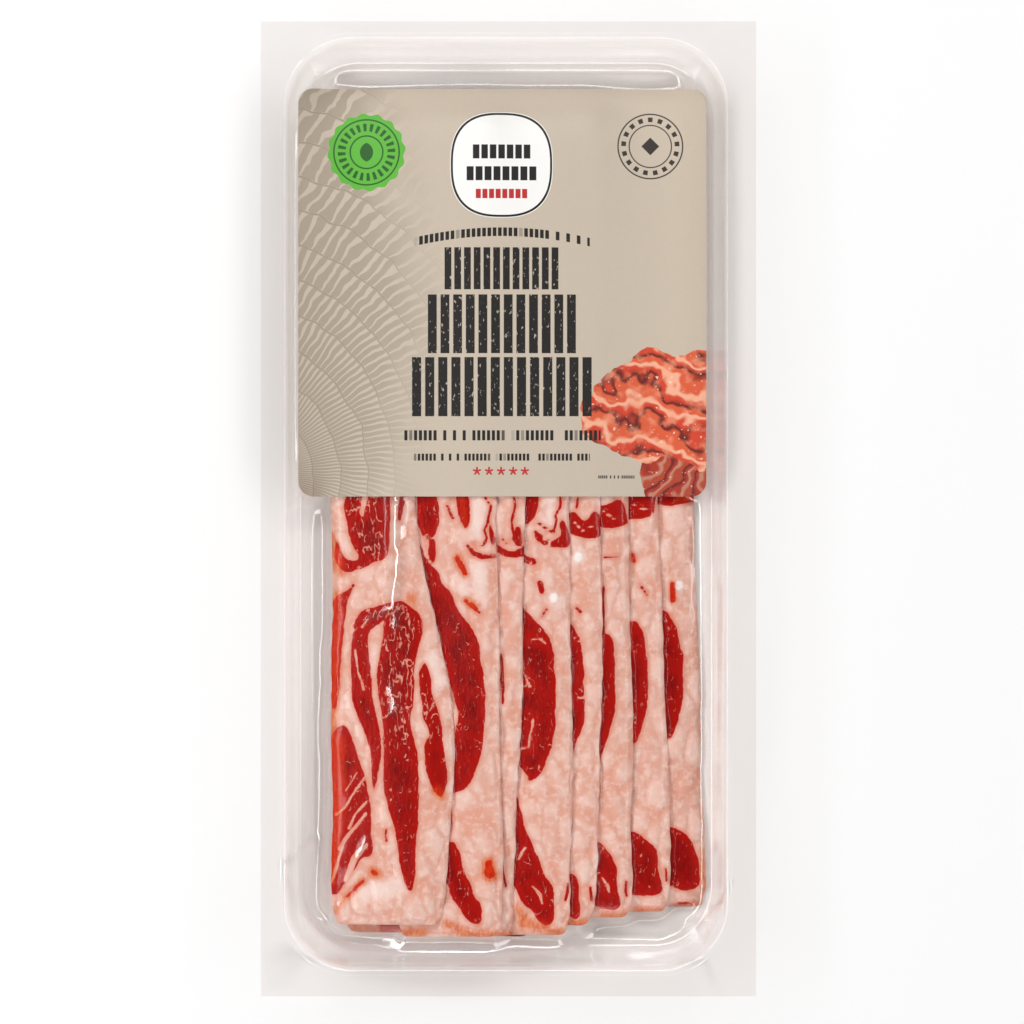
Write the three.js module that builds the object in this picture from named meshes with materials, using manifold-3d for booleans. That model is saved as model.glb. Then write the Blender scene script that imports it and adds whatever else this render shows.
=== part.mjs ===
// A shallow clear pack of shingled rashers, lying on its back with the show side up.
// A thermoformed tray with a sealing flange holds ten rashers. Two lie flat on its floor, and eight
// lie over them like roof tiles, each with its right edge on top of the next one. A lidding film is
// sealed to the flange and drawn down over the meat by the vacuum, and a label is stuck on the film.
// Millimetres. +X is the pack's right, +Y its head, +Z up. The origin is under its centre, on the table.

import * as THREE from "three";
import { mergeVertices } from "three/addons/utils/BufferGeometryUtils.js";
import Module from "manifold-3d";

// ---- Driving dimensions ----
const PACK = { width: 127, length: 250, corner: 0.8 };
const TRAY_DEPTH = 17;
const FLANGE = { left: 5.9, right: 7.2, head: 3.8, foot: 6.2 };
const WALL_RUN = { side: 4.4, end: 7.6 }; // how far the pocket's walls lean in, from rim to floor
const POCKET_CORNER = { rim: 17, floor: 12 }; // radii in plan
const SHEET = { tray: 0.45, film: 0.25, label: 0.2 };
const CLEARANCE = 0.2; // left between a piece and what it lies on
const SEAM = 0.05; // left between sheets that are sealed or stuck together

const RASHER = {
  width: 27.5,
  thickness: 2.4,
  edgeShare: 0.3, // of the thickness, left along the two long edges
  endShare: 0.4, // of the thickness, left at the two ends
  endRound: 4, // how far from an end its rounding starts
  endInset: 1.4, // how far the rounding draws the corners in
  unevenEdge: 0.5, // how far its long edges stray from a straight line
  unevenThickness: 0.06, // as a share
};
// A rasher's right edge is a smooth line through its X at these four places along the pack.
const EDGE_PLACES = [100, 0, -50, -108];
// Top one first, from left to right. head and foot are the Y of its two ends.
const SHINGLE = [
  { edge: [-24, -24.2, -14.4, -16.8], left: -45.3, head: 99, foot: -106.8 },
  { edge: [-3, -3.1, -2.2, -1.4], head: 101, foot: -109.9 },
  { edge: [4.4, 4.1, 3.3, 0.8], head: 98, foot: -109.8 },
  { edge: [15, 15.4, 16.3, 15.8], head: 100, foot: -109.6 },
  { edge: [23.5, 23.7, 24, 21.9], head: 102, foot: -107.2 },
  { edge: [30.6, 30.8, 31.9, 31.7], head: 100, foot: -105.2 },
  { edge: [38, 38.5, 40.6, 42], head: 98, foot: -103.8 },
  { edge: [47, 47.9, 49.4, 51], head: 99, foot: -102.5 },
];
const FLOOR_LAYER = [
  { edge: [-17, -16.5, -15.5, -15.6], left: -42.5, head: 97, foot: -109.2 },
  { edge: [7.2, 7.6, 7.5, 7.4], left: -13.5, head: 96, foot: -110.2 },
];

const LABEL = { left: -54, right: 50.9, head: 108.1, foot: 3.2, corner: 3.5 };

// How sharply a sheet bends down between its supports, as a curvature per mm.
const DRAW = { meat: 0.02, film: 0.3, underLabel: 0.01 };
const SETTLING_ROUNDS = { meat: 60, film: 240 };

// ---- The pocket ----
const rim = {
  x: (FLANGE.left - FLANGE.right) / 2,
  y: (FLANGE.foot - FLANGE.head) / 2,
  halfX: (PACK.width - FLANGE.left - FLANGE.right) / 2,
  halfY: (PACK.length - FLANGE.head - FLANGE.foot) / 2,
};
// The wall's section: X is the share of the run, Y the share of the depth.
const wallSection = new THREE.CubicBezierCurve(
  new THREE.Vector2(0, 1),
  new THREE.Vector2(0.42, 1),
  new THREE.Vector2(0.2, 0),
  new THREE.Vector2(1, 0),
);
const DEPTH_INSIDE = TRAY_DEPTH - SHEET.tray;

// The pocket's outline at a share of the wall's run, grown outwards by grow.
function pocketOutline(share, grow = 0) {
  return {
    x: rim.x,
    y: rim.y,
    halfX: rim.halfX - WALL_RUN.side * share + grow,
    halfY: rim.halfY - WALL_RUN.end * share + grow,
    corner: THREE.MathUtils.lerp(POCKET_CORNER.rim, POCKET_CORNER.floor, share) + grow,
  };
}
const packOutline = {
  x: 0,
  y: 0,
  halfX: PACK.width / 2,
  halfY: PACK.length / 2,
  corner: PACK.corner,
};

function isInside(px, py, { x, y, halfX, halfY, corner }) {
  const overX = Math.max(Math.abs(px - x) - (halfX - corner), 0);
  const overY = Math.max(Math.abs(py - y) - (halfY - corner), 0);
  return Math.hypot(overX, overY) < corner;
}

// Height of the tray's upper face. PRECISION is a share of the way along the wall's section.
const PRECISION = 0.01;
function trayTop(x, y) {
  if (!isInside(x, y, pocketOutline(0))) return TRAY_DEPTH;
  if (isInside(x, y, pocketOutline(1))) return SHEET.tray;
  let [low, high] = [0, 1];
  while (high - low > PRECISION) {
    const middle = (low + high) / 2;
    if (isInside(x, y, pocketOutline(wallSection.getPoint(middle).x))) low = middle;
    else high = middle;
  }
  return SHEET.tray + DEPTH_INSIDE * wallSection.getPoint(low).y;
}

// ---- The tray, a skin over rings ----
const CORNER_STEPS = 8;

// The points of a rounded rectangle, anticlockwise seen from above.
function ring({ x, y, halfX, halfY, corner }, z) {
  const points = [];
  for (let quarter = 0; quarter < 4; quarter++) {
    const signX = quarter === 0 || quarter === 3 ? 1 : -1;
    const signY = quarter < 2 ? 1 : -1;
    for (let step = 0; step <= CORNER_STEPS; step++) {
      const angle = ((quarter + step / CORNER_STEPS) * Math.PI) / 2;
      const px = x + signX * (halfX - corner) + corner * Math.cos(angle);
      const py = y + signY * (halfY - corner) + corner * Math.sin(angle);
      points.push(new THREE.Vector3(px, py, z));
    }
  }
  return points;
}

// One closed body whose skin runs from the first ring to the last, with a flat end at both.
function skinOverRings(rings) {
  const around = rings[0].length;
  const last = rings.length - 1;
  const positions = rings.flat().flatMap((point) => point.toArray());
  positions.push(rim.x, rim.y, rings[0][0].z, rim.x, rim.y, rings[last][0].z);
  const [firstMiddle, lastMiddle] = [rings.length * around, rings.length * around + 1];
  const faces = [];
  for (let i = 0; i < around; i++) {
    const next = (i + 1) % around;
    for (let r = 0; r < last; r++) {
      const [a, b] = [r * around + i, r * around + next];
      faces.push(a, a + around, b, b, a + around, b + around);
    }
    faces.push(firstMiddle, i, next, lastMiddle, last * around + next, last * around + i);
  }
  const geometry = new THREE.BufferGeometry();
  geometry.setAttribute("position", new THREE.Float32BufferAttribute(positions, 3));
  geometry.setIndex(faces);
  geometry.computeVertexNormals();
  return geometry;
}

function trayGeometry() {
  const WALL_STEPS = 9;
  const inside = [];
  const outside = [];
  for (let i = 0; i <= WALL_STEPS; i++) {
    const place = i / WALL_STEPS;
    const { x: share, y: height } = wallSection.getPoint(place);
    const slope = wallSection.getTangent(place);
    const turn = Math.atan2(-slope.y * DEPTH_INSIDE, slope.x * WALL_RUN.side);
    const z = SHEET.tray + DEPTH_INSIDE * height;
    inside.push(ring(pocketOutline(share), z));
    outside.push(
      ring(pocketOutline(share, SHEET.tray * Math.sin(turn)), z - SHEET.tray * Math.cos(turn)),
    );
  }
  return skinOverRings([
    ...inside.reverse(),
    ring(packOutline, TRAY_DEPTH),
    ring(packOutline, TRAY_DEPTH - SHEET.tray),
    ...outside,
  ]);
}

// ---- Grains: an even spread of points, each with the least height of what may lie there next ----
const GRAIN = 0.8;
const grains = [];
for (let j = 0; j * GRAIN <= PACK.length; j++) {
  grains.push([]);
  for (let i = 0; i * GRAIN <= PACK.width; i++) {
    const place = new THREE.Vector3(i * GRAIN - PACK.width / 2, j * GRAIN - PACK.length / 2, 0);
    // The tray's walls are steep, so a grain takes the highest of the corners of its own square.
    const corners = [-GRAIN, GRAIN].flatMap((x) => [-GRAIN, GRAIN].map((y) => [x / 2, y / 2]));
    const tops = corners.map(([x, y]) => trayTop(place.x + x, place.y + y));
    grains[j].push({ place, height: Math.max(...tops) + SEAM });
  }
}

function grainsBetween(min, max) {
  const index = (at, size) => (at + size / 2) / GRAIN;
  return grains
    .slice(Math.ceil(index(min.y, PACK.length)), Math.floor(index(max.y, PACK.length)) + 1)
    .flatMap((row) =>
      row.slice(Math.ceil(index(min.x, PACK.width)), Math.floor(index(max.x, PACK.width)) + 1),
    );
}

// ---- Sheets: slabs on a grid of cells. points hold the underside, thickness what lies above it ----
function sheetFrom(cellsX, cellsY, pointAt, thicknessAt) {
  const sheet = { cellsX, cellsY, points: [], thickness: [], triangles: [] };
  for (let j = 0; j <= cellsY; j++) {
    for (let i = 0; i <= cellsX; i++) {
      sheet.points.push(pointAt(i, j));
      sheet.thickness.push(thicknessAt(i, j));
    }
  }
  const row = cellsX + 1;
  for (let j = 0; j < cellsY; j++) {
    for (let i = 0; i < cellsX; i++) {
      const a = j * row + i;
      sheet.triangles.push([a, a + 1, a + row + 1], [a, a + row + 1, a + row]);
    }
  }
  return sheet;
}

// The grains that a sheet covers, each with the corners of its triangle and their shares.
function grainsUnder({ points, triangles }) {
  const found = [];
  for (const corners of triangles) {
    const [a, b, c] = corners.map((n) => new THREE.Vector3(points[n].x, points[n].y, 0));
    const box = new THREE.Box3().setFromPoints([a, b, c]);
    for (const grain of grainsBetween(box.min, box.max)) {
      const shares = THREE.Triangle.getBarycoord(grain.place, a, b, c, new THREE.Vector3());
      if (shares && Math.min(...shares) >= 0) found.push({ grain, corners, shares: [...shares] });
    }
  }
  return found;
}

// Each point's neighbours along the grid, the nearer ones with more weight.
function neighboursOf({ cellsX, cellsY, points }) {
  return points.map((point, n) => {
    const [i, j] = [n % (cellsX + 1), Math.floor(n / (cellsX + 1))];
    const beside = [];
    if (i > 0) beside.push(n - 1);
    if (i < cellsX) beside.push(n + 1);
    if (j > 0) beside.push(n - cellsX - 1);
    if (j < cellsY) beside.push(n + cellsX + 1);
    const near = beside.map((m) => ({ m, weight: 1 / points[m].distanceTo(point) }));
    const total = near.reduce((sum, { weight }) => sum + weight, 0);
    return { near, total, spacing: beside.length / total };
  });
}

// Lays a sheet on whatever is there: it clings to the grains, and spans the hollows by its tension.
function settle(sheet, { draw, rounds, isHeld = () => false }) {
  const { points, thickness } = sheet;
  const found = grainsUnder(sheet);
  const neighbours = neighboursOf(sheet);
  for (let round = 0; round <= rounds; round++) {
    const ease = 1 - round / rounds; // The steps get smaller, down to none in the last round.
    for (let n = 0; n < points.length; n++) {
      if (isHeld(n)) continue;
      const { near, total, spacing } = neighbours[n];
      const mean = near.reduce((sum, { m, weight }) => sum + weight * points[m].z, 0) / total;
      points[n].z += ease * (mean - (draw(points[n]) * spacing ** 2) / 4 - points[n].z);
    }
    for (const { grain, corners, shares } of found) {
      const z = corners.reduce((sum, n, k) => sum + shares[k] * points[n].z, 0);
      const lift = grain.height - z;
      if (lift <= 0) continue;
      const squares = shares.reduce((sum, share) => sum + share ** 2, 0);
      corners.forEach((n, k) => {
        if (!isHeld(n)) points[n].z += (lift * shares[k]) / squares;
      });
    }
  }
  for (const { grain, corners, shares } of found) {
    const top = corners.reduce((sum, n, k) => sum + shares[k] * (points[n].z + thickness[n]), 0);
    grain.height = Math.max(grain.height, top + CLEARANCE);
  }
  return sheet;
}

// The closed skin of a sheet. from and to are heights above its underside at each point.
function skinOf({ cellsX, cellsY, points, triangles }, from, to) {
  const positions = [from, to].flatMap((height) =>
    points.flatMap(({ x, y, z }, n) => [x, y, z + height(n)]),
  );
  const top = points.length;
  const faces = triangles.flatMap(([a, b, c]) => [a, c, b, top + a, top + b, top + c]);
  const side = (a, b) => faces.push(a, b, top + b, a, top + b, top + a);
  const row = cellsX + 1;
  for (let i = 0; i < cellsX; i++) {
    side(i, i + 1);
    side(cellsY * row + i + 1, cellsY * row + i);
  }
  for (let j = 0; j < cellsY; j++) {
    side((j + 1) * row, j * row);
    side(j * row + cellsX, (j + 1) * row + cellsX);
  }
  const geometry = new THREE.BufferGeometry();
  geometry.setAttribute("position", new THREE.Float32BufferAttribute(positions, 3));
  geometry.setIndex(faces);
  geometry.computeVertexNormals();
  return geometry;
}

// ---- The rashers ----
const CELLS = { shingle: { across: 6, along: 20 }, floor: { across: 4, along: 12 } };

// Even shares from 0 to 1, drawn together towards both ends.
const CROWDING = 0.55;
function crowdedShares(count) {
  return Array.from({ length: count + 1 }, (_, i) => {
    const share = i / count;
    return share - (CROWDING * Math.sin(2 * Math.PI * share)) / (2 * Math.PI);
  });
}

// A gentle uneven line of two waves, the same each time for the same seed.
const WAVES = [
  { height: 0.6, stretch: 9, shift: 2.3 },
  { height: 0.4, stretch: 4.1, shift: 5.1 },
];
function waver(y, seed) {
  return WAVES.reduce(
    (sum, { height, stretch, shift }) => sum + height * Math.sin(y / stretch + seed * shift),
    0,
  );
}

// The X of a rasher's right edge at each of these Y.
const EDGE_POINTS = 240;
function edgeLine(edge, ys) {
  const line = new THREE.SplineCurve(edge.map((x, i) => new THREE.Vector2(x, EDGE_PLACES[i])));
  const fine = line.getPoints(EDGE_POINTS);
  return ys.map((y) => fine.reduce((a, b) => (Math.abs(b.y - y) < Math.abs(a.y - y) ? b : a)).x);
}

const EDGE_SHARPNESS = 6; // how late the thickness falls off towards a long edge, as a power
const LUMP_RATE = 1.7; // how many lumps there are to a wave of the edge

function rasherSheet({ edge, left, head, foot }, seed, { across, along }) {
  const ys = crowdedShares(along).map((share) => THREE.MathUtils.lerp(foot, head, share));
  const rightEdge = edgeLine(edge, ys);
  const columns = crowdedShares(across);
  const rows = ys.map((y, j) => {
    const fromEnd = Math.min((y - foot) / RASHER.endRound, (head - y) / RASHER.endRound, 1);
    const roundness = Math.sqrt(1 - (1 - fromEnd) ** 2);
    const inset = RASHER.endInset * (1 - roundness);
    const right = rightEdge[j] + RASHER.unevenEdge * waver(y, seed);
    const leftEdge = (left ?? right - RASHER.width) + RASHER.unevenEdge * waver(y, -seed);
    const fullness = THREE.MathUtils.lerp(RASHER.endShare, 1, roundness);
    return { left: leftEdge + inset, right: right - inset, fullness };
  });
  const pointAt = (i, j) => {
    const x = THREE.MathUtils.lerp(rows[j].left, rows[j].right, columns[i]);
    return new THREE.Vector3(x, ys[j], 0);
  };
  const thicknessAt = (i, j) => {
    const outwards = Math.abs(2 * columns[i] - 1) ** EDGE_SHARPNESS;
    const section = THREE.MathUtils.lerp(1, RASHER.edgeShare, outwards);
    const lumps = 1 + RASHER.unevenThickness * waver(ys[j] * LUMP_RATE, seed + i);
    return RASHER.thickness * section * rows[j].fullness * lumps;
  };
  return sheetFrom(across, along, pointAt, thicknessAt);
}

// ---- The film, on a grid whose outer rows follow the flange and the pocket's corners ----
const FILM_CELLS = { x: 30, y: 38 };
const FILM_SHARES = [0.1, 0.28, 0.5, 1]; // of the wall's run, where a row of points follows it

function filmSheet() {
  const outlines = [packOutline, ...FILM_SHARES.map((share) => pocketOutline(share))];
  const floor = outlines.at(-1);
  const spread = (cells, centre, half) => {
    const near = outlines.map((outline) => outline[centre] - outline[half]);
    const far = outlines.map((outline) => outline[centre] + outline[half]).reverse();
    const between = cells - 2 * (outlines.length - 1);
    const middle = Array.from({ length: between - 1 }, (_, i) =>
      THREE.MathUtils.lerp(near.at(-1), far[0], (i + 1) / between),
    );
    return [...near, ...middle, ...far];
  };
  const xs = spread(FILM_CELLS.x, "x", "halfX");
  const ys = spread(FILM_CELLS.y, "y", "halfY");
  const pointAt = (i, j) => {
    const level = Math.min(i, j, FILM_CELLS.x - i, FILM_CELLS.y - j);
    const { x, y, halfX, halfY, corner } = outlines[level] ?? {
      x: floor.x,
      y: floor.y,
      halfX: floor.x - xs[level],
      halfY: floor.y - ys[level],
      corner: Math.max(floor.corner - (xs[level] - (floor.x - floor.halfX)), 0.01),
    };
    // A point beyond the start of the corner's curve moves straight on to it.
    const start = new THREE.Vector3(halfX - corner, halfY - corner, 0);
    const over = new THREE.Vector3(Math.abs(xs[i] - x), Math.abs(ys[j] - y), 0).sub(start);
    const point = new THREE.Vector3(xs[i], ys[j], 0);
    if (over.x > 0 && over.y > 0) {
      over.setLength(corner).add(start);
      point.set(x + Math.sign(xs[i] - x) * over.x, y + Math.sign(ys[j] - y) * over.y, 0);
    }
    return point;
  };
  return sheetFrom(FILM_CELLS.x, FILM_CELLS.y, pointAt, () => SHEET.film);
}

function layFilm() {
  const sheet = filmSheet();
  const isOnFlange = sheet.points.map((point, n) => {
    const [i, j] = [n % (FILM_CELLS.x + 1), Math.floor(n / (FILM_CELLS.x + 1))];
    return Math.min(i, j, FILM_CELLS.x - i, FILM_CELLS.y - j) < 2;
  });
  sheet.points.forEach((point, n) => {
    if (isOnFlange[n]) point.z = TRAY_DEPTH + SEAM;
  });
  const isUnderLabel = ({ x, y }) =>
    x > LABEL.left && x < LABEL.right && y > LABEL.foot && y < LABEL.head;
  return settle(sheet, {
    draw: (point) => (isUnderLabel(point) ? DRAW.underLabel : DRAW.film),
    rounds: SETTLING_ROUNDS.film,
    isHeld: (n) => isOnFlange[n],
  });
}

// ---- The label, cut to its outline from a sheet that lies on the film ----
const wasm = await Module();
wasm.setup();
const SAME_POINT = 1e-4; // points nearer than this are one

function solidFrom(geometry) {
  const bare = new THREE.BufferGeometry();
  bare.setAttribute("position", geometry.getAttribute("position"));
  bare.setIndex(geometry.index);
  const { attributes, index } = mergeVertices(bare, SAME_POINT);
  return new wasm.Manifold(
    new wasm.Mesh({
      numProp: 3,
      vertProperties: attributes.position.array,
      triVerts: new Uint32Array(index.array),
    }),
  );
}

function geometryFrom(solid) {
  const mesh = solid.getMesh();
  const geometry = new THREE.BufferGeometry();
  geometry.setAttribute("position", new THREE.BufferAttribute(mesh.vertProperties, 3));
  geometry.setIndex(new THREE.BufferAttribute(mesh.triVerts, 1));
  geometry.computeVertexNormals();
  return geometry;
}

function labelGeometry(film) {
  const { left, right, head, foot, corner } = LABEL;
  const quarter = Math.PI / 2;
  const outline = new THREE.Shape()
    .absarc(right - corner, head - corner, corner, 0, quarter)
    .absarc(left + corner, head - corner, corner, quarter, 2 * quarter)
    .absarc(left + corner, foot + corner, corner, 2 * quarter, 3 * quarter)
    .absarc(right - corner, foot + corner, corner, 3 * quarter, 4 * quarter);
  const cutter = new THREE.ExtrudeGeometry(outline, {
    depth: 2 * TRAY_DEPTH,
    bevelEnabled: false,
    curveSegments: 6,
  });
  const under = SHEET.film + SEAM;
  const blank = skinOf(film, () => under, () => under + SHEET.label);
  return geometryFrom(solidFrom(blank).intersect(solidFrom(cutter)));
}

// ---- The pack ----
const clearPlastic = new THREE.MeshStandardMaterial({
  color: 0xe6e2de,
  roughness: 0.08,
  transparent: true,
  opacity: 0.25,
});
const clearFilm = clearPlastic.clone();
clearFilm.opacity = 0.15;
const paper = new THREE.MeshStandardMaterial({ color: 0xcfbfac, roughness: 0.6 });
const meat = new THREE.MeshStandardMaterial({ color: 0xc8584a, roughness: 0.35 });

const pack = new THREE.Group();
function add(name, geometry, material) {
  const mesh = new THREE.Mesh(geometry, material);
  mesh.name = name;
  pack.add(mesh);
}

function layRasher(shape, number, cells) {
  const sheet = rasherSheet(shape, number, cells);
  settle(sheet, { draw: () => DRAW.meat, rounds: SETTLING_ROUNDS.meat });
  add(`rasher_${number}`, skinOf(sheet, () => 0, (n) => sheet.thickness[n]), meat);
}

add("tray", trayGeometry(), clearPlastic);
// From the floor up, and the shingle from its right end to its left.
for (let i = FLOOR_LAYER.length; i > 0; i--) {
  layRasher(FLOOR_LAYER[i - 1], SHINGLE.length + i, CELLS.floor);
}
for (let i = SHINGLE.length; i > 0; i--) layRasher(SHINGLE[i - 1], i, CELLS.shingle);
const film = layFilm();
add("film", skinOf(film, () => 0, () => SHEET.film), clearFilm);
add("label", labelGeometry(film), paper);

export default pack;
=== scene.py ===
# %% [markdown]
# # A shallow clear pack of shingled rashers
#
# The real pack is a clear tray with a flange all round. Ten rashers lie in it, eight of them over
# one another like roof tiles. A thin clear film is sealed to the flange and sucked down on to the
# meat, and a square label is stuck on the film. We look straight down on it.
#
# The frame holds every piece at its real size. Here each piece gets a finer mesh and its finish:
# first the tray, then the rashers, then the film that is draped over both, and last the label.

# %% Load the frame
import math

import bpy
import numpy as np
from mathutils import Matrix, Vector, noise
from mathutils.bvhtree import BVHTree


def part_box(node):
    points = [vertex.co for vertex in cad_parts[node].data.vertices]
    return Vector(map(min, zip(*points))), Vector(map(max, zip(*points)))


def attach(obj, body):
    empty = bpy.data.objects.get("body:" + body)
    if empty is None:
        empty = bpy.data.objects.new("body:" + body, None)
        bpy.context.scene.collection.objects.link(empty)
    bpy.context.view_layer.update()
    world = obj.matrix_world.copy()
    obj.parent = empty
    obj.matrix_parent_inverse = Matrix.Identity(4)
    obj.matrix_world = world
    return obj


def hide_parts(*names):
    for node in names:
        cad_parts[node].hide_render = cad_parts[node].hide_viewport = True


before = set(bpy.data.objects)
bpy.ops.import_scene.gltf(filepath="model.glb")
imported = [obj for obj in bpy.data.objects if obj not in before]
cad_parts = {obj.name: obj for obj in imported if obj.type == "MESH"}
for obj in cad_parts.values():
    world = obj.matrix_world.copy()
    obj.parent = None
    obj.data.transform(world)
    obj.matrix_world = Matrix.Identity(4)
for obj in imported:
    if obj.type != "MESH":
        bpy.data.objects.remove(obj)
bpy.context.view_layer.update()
MM = 0.001
pack_low, pack_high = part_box("tray")

# %% [markdown]
# ## The camera and the studio
#
# The photograph was taken from straight above and from far away, so that nothing leans. A long lens
# far up gives that. The picture is a little wider than the pack is long, and the pack sits slightly
# off its middle. The room is a pale floor and four long soft lights, one on each side. Straight up
# it is nearly dark: what lies flat mirrors only that, so that the film doesn't veil the meat.

# %% The camera
scene = bpy.context.scene
PICTURE_WIDTH = 262.6 * MM
PICTURE_CENTRE = Vector((0.9, -0.8, 0)) * MM
LENS = 400
SENSOR = 36

camera_data = bpy.data.cameras.new("camera")
camera_data.lens = LENS
camera_data.sensor_width = SENSOR
camera = bpy.data.objects.new("camera", camera_data)
scene.collection.objects.link(camera)
distance = PICTURE_WIDTH * LENS / SENSOR
camera.location = PICTURE_CENTRE + Vector((0, 0, pack_high.z + distance))
camera_data.clip_end = 4 * distance
scene.camera = camera
print(f"The camera hangs {distance:.2f} m above the flange.")


# %% The floor, the lights and the world
def deselect_all():
    for chosen in bpy.context.selected_objects:
        chosen.select_set(False)


FLOOR_SIZE = 6
deselect_all()
bpy.ops.mesh.primitive_grid_add(x_subdivisions=4, y_subdivisions=4, size=FLOOR_SIZE)
floor = bpy.context.object
floor.name = "floor"

STRIP_REACH = 0.95  # how far out each light stands, and how high it hangs
STRIP_HEIGHT = 0.85
STRIP_SIZE = (1.6, 0.26)
STRIP_POWER = {"left": 9.1, "right": 5.2, "head": 8.2, "foot": 5.5}
STRIP_SIDE = {"left": (-1, 0), "right": (1, 0), "head": (0, 1), "foot": (0, -1)}
for side, (x, y) in STRIP_SIDE.items():
    strip_data = bpy.data.lights.new(f"strip_{side}", "AREA")
    strip_data.shape = "RECTANGLE"
    strip_data.size, strip_data.size_y = STRIP_SIZE
    strip_data.energy = STRIP_POWER[side]
    strip = bpy.data.objects.new(f"strip_{side}", strip_data)
    strip.location = (x * STRIP_REACH, y * STRIP_REACH, STRIP_HEIGHT)
    aim = Vector((-x * STRIP_REACH, -y * STRIP_REACH, -STRIP_HEIGHT))
    strip.rotation_euler = aim.to_track_quat("-Z", "Y").to_euler()
    scene.collection.objects.link(strip)

WORLD_LIGHT = 0.10
SHEETS_CROSSED = 32  # how many faces of clear sheet light may go through
world = bpy.data.worlds.new("studio")
world.use_nodes = True
background = world.node_tree.nodes["Background"]
background.inputs["Color"].default_value = (1, 1, 1, 1)
background.inputs["Strength"].default_value = WORLD_LIGHT
scene.world = world
scene.view_settings.view_transform = "Standard"
scene.cycles.transparent_max_bounces = SHEETS_CROSSED
print("The studio has", len(STRIP_SIDE), "lights.")


# %% [markdown]
# ## A small kit for finishes
#
# A finish is a node tree. Wiring one by hand takes many lines, so two small classes help. A `Wire`
# is a socket that Python's own arithmetic works on: writing `1 - mask` adds a Math node. A `Finish`
# owns the material, and its one method `node` adds any other node.

# %% Wires and finishes
def maths(operation, swapped=False):
    """A method of Wire that adds a Math node."""

    def method(self, *others):
        values = (*others, self) if swapped else (self, *others)
        return self.finish.node("ShaderNodeMath", {"operation": operation}, *values)

    return method


class Wire:
    """A socket that arithmetic works on."""

    def __init__(self, finish, socket):
        self.finish = finish
        self.socket = socket

    __add__ = __radd__ = maths("ADD")
    __sub__ = maths("SUBTRACT")
    __rsub__ = maths("SUBTRACT", swapped=True)
    __mul__ = __rmul__ = maths("MULTIPLY")
    __truediv__ = maths("DIVIDE")
    __mod__ = maths("FLOORED_MODULO")
    __pow__ = maths("POWER")
    __abs__ = maths("ABSOLUTE")
    floor = maths("FLOOR")
    sin = maths("SINE")
    most = maths("MAXIMUM")
    turn = maths("ARCTAN2")  # up.turn(across) is the angle of that place round the origin


class Finish:
    """A material and the nodes that make it."""

    def __init__(self, name):
        self.material = bpy.data.materials.new(name)
        self.material.use_nodes = True
        self.tree = self.material.node_tree
        self.tree.nodes.clear()

    def node(self, kind, settings, *values, out=0, **named):
        """Adds a node. values go to its sockets in order, and None leaves one as it is."""
        made = self.tree.nodes.new(kind)
        for name, setting in settings.items():
            setattr(made, name, setting)
        for place, value in [*enumerate(values), *named.items()]:
            socket = made.inputs[place if isinstance(place, int) else place.replace("_", " ")]
            if isinstance(value, Wire):
                self.tree.links.new(value.socket, socket)
            elif value is not None:
                socket.default_value = value
        return Wire(self, made.outputs[out])

    def place(self):
        """X, Y and Z on the object, in mm."""
        place = self.node("ShaderNodeTexCoord", {}, out="Object")
        scaled = self.node("ShaderNodeVectorMath", {"operation": "SCALE"}, place, Scale=1 / MM)
        parts = [self.node("ShaderNodeSeparateXYZ", {}, scaled, out=i) for i in range(3)]
        return scaled, *parts

    def stretched(self, place, x, y):
        return self.node("ShaderNodeVectorMath", {"operation": "MULTIPLY"}, place, (x, y, 1))

    def noise(self, place, scale, detail=2, distortion=0.0):
        """Noise about 0, from -0.5 to 0.5. scale is lumps per mm."""
        settings = {"noise_dimensions": "3D"}
        sockets = {"Scale": scale, "Detail": detail, "Distortion": distortion}
        return self.node("ShaderNodeTexNoise", settings, place, **sockets) - 0.5

    def between(self, value, low, high):
        """0 below low, 1 above high and smooth in between."""
        settings = {"interpolation_type": "SMOOTHSTEP", "clamp": True}
        return self.node("ShaderNodeMapRange", settings, value, low, high, 0.0, 1.0)

    def mix(self, mask, below, above):
        """One colour where the mask is 0, and the other where it is 1."""
        settings = {"data_type": "RGBA", "clamp_factor": True}
        other_kinds = [None] * 5  # sockets for what isn't a colour
        return self.node("ShaderNodeMix", settings, mask, *other_kinds, below, above, out=2)

    def layers(self, colour, *inks):
        """Lays inks over a colour in turn. Each comes as (mask, ink)."""
        for mask, ink in inks:
            colour = self.mix(mask, colour, ink)
        return colour

    def attribute(self, name):
        return self.node("ShaderNodeAttribute", {"attribute_name": name}, out="Fac")

    def principled(self, colour, roughness, **named):
        named = {"Base_Color": colour, "Roughness": roughness, **named}
        return self.surface(self.node("ShaderNodeBsdfPrincipled", {}, **named))

    def surface(self, shader):
        output = self.tree.nodes.new("ShaderNodeOutputMaterial")
        self.tree.links.new(shader.socket, output.inputs["Surface"])
        return self.material


def tint(red, green, blue):
    """A colour as a screen shows it, 0 to 255, turned into the light that Blender counts in."""
    shares = [channel / 255 for channel in (red, green, blue)]
    return (*[s / 12.92 if s <= 0.04045 else ((s + 0.055) / 1.055) ** 2.4 for s in shares], 1)


def dress(piece, material):
    piece.data.materials.clear()
    piece.data.materials.append(material)


# %% The floor's finish
def floor_finish():
    paint = Finish("floor")
    place, *_ = paint.place()
    clouds = paint.noise(place, 0.004)
    return paint.principled(paint.mix(clouds + 0.5, tint(250, 250, 250), tint(252, 252, 252)), 0.9)


dress(floor, floor_finish())

# %% [markdown]
# ## The tray
#
# The tray is drawn down out of one flat sheet by heat and vacuum. We do nearly the same: a plane as
# large as the pocket's mouth gets round corners from a vertex bevel, and is pushed down and in
# along the wall's curve, a step at a time. The flange is then bridged to its edge, and a Solidify
# modifier gives the sheet its thickness. Scaling the face rather than insetting it lets the wall
# lean in further at the two ends than along the sides, as the real one does.

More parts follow.
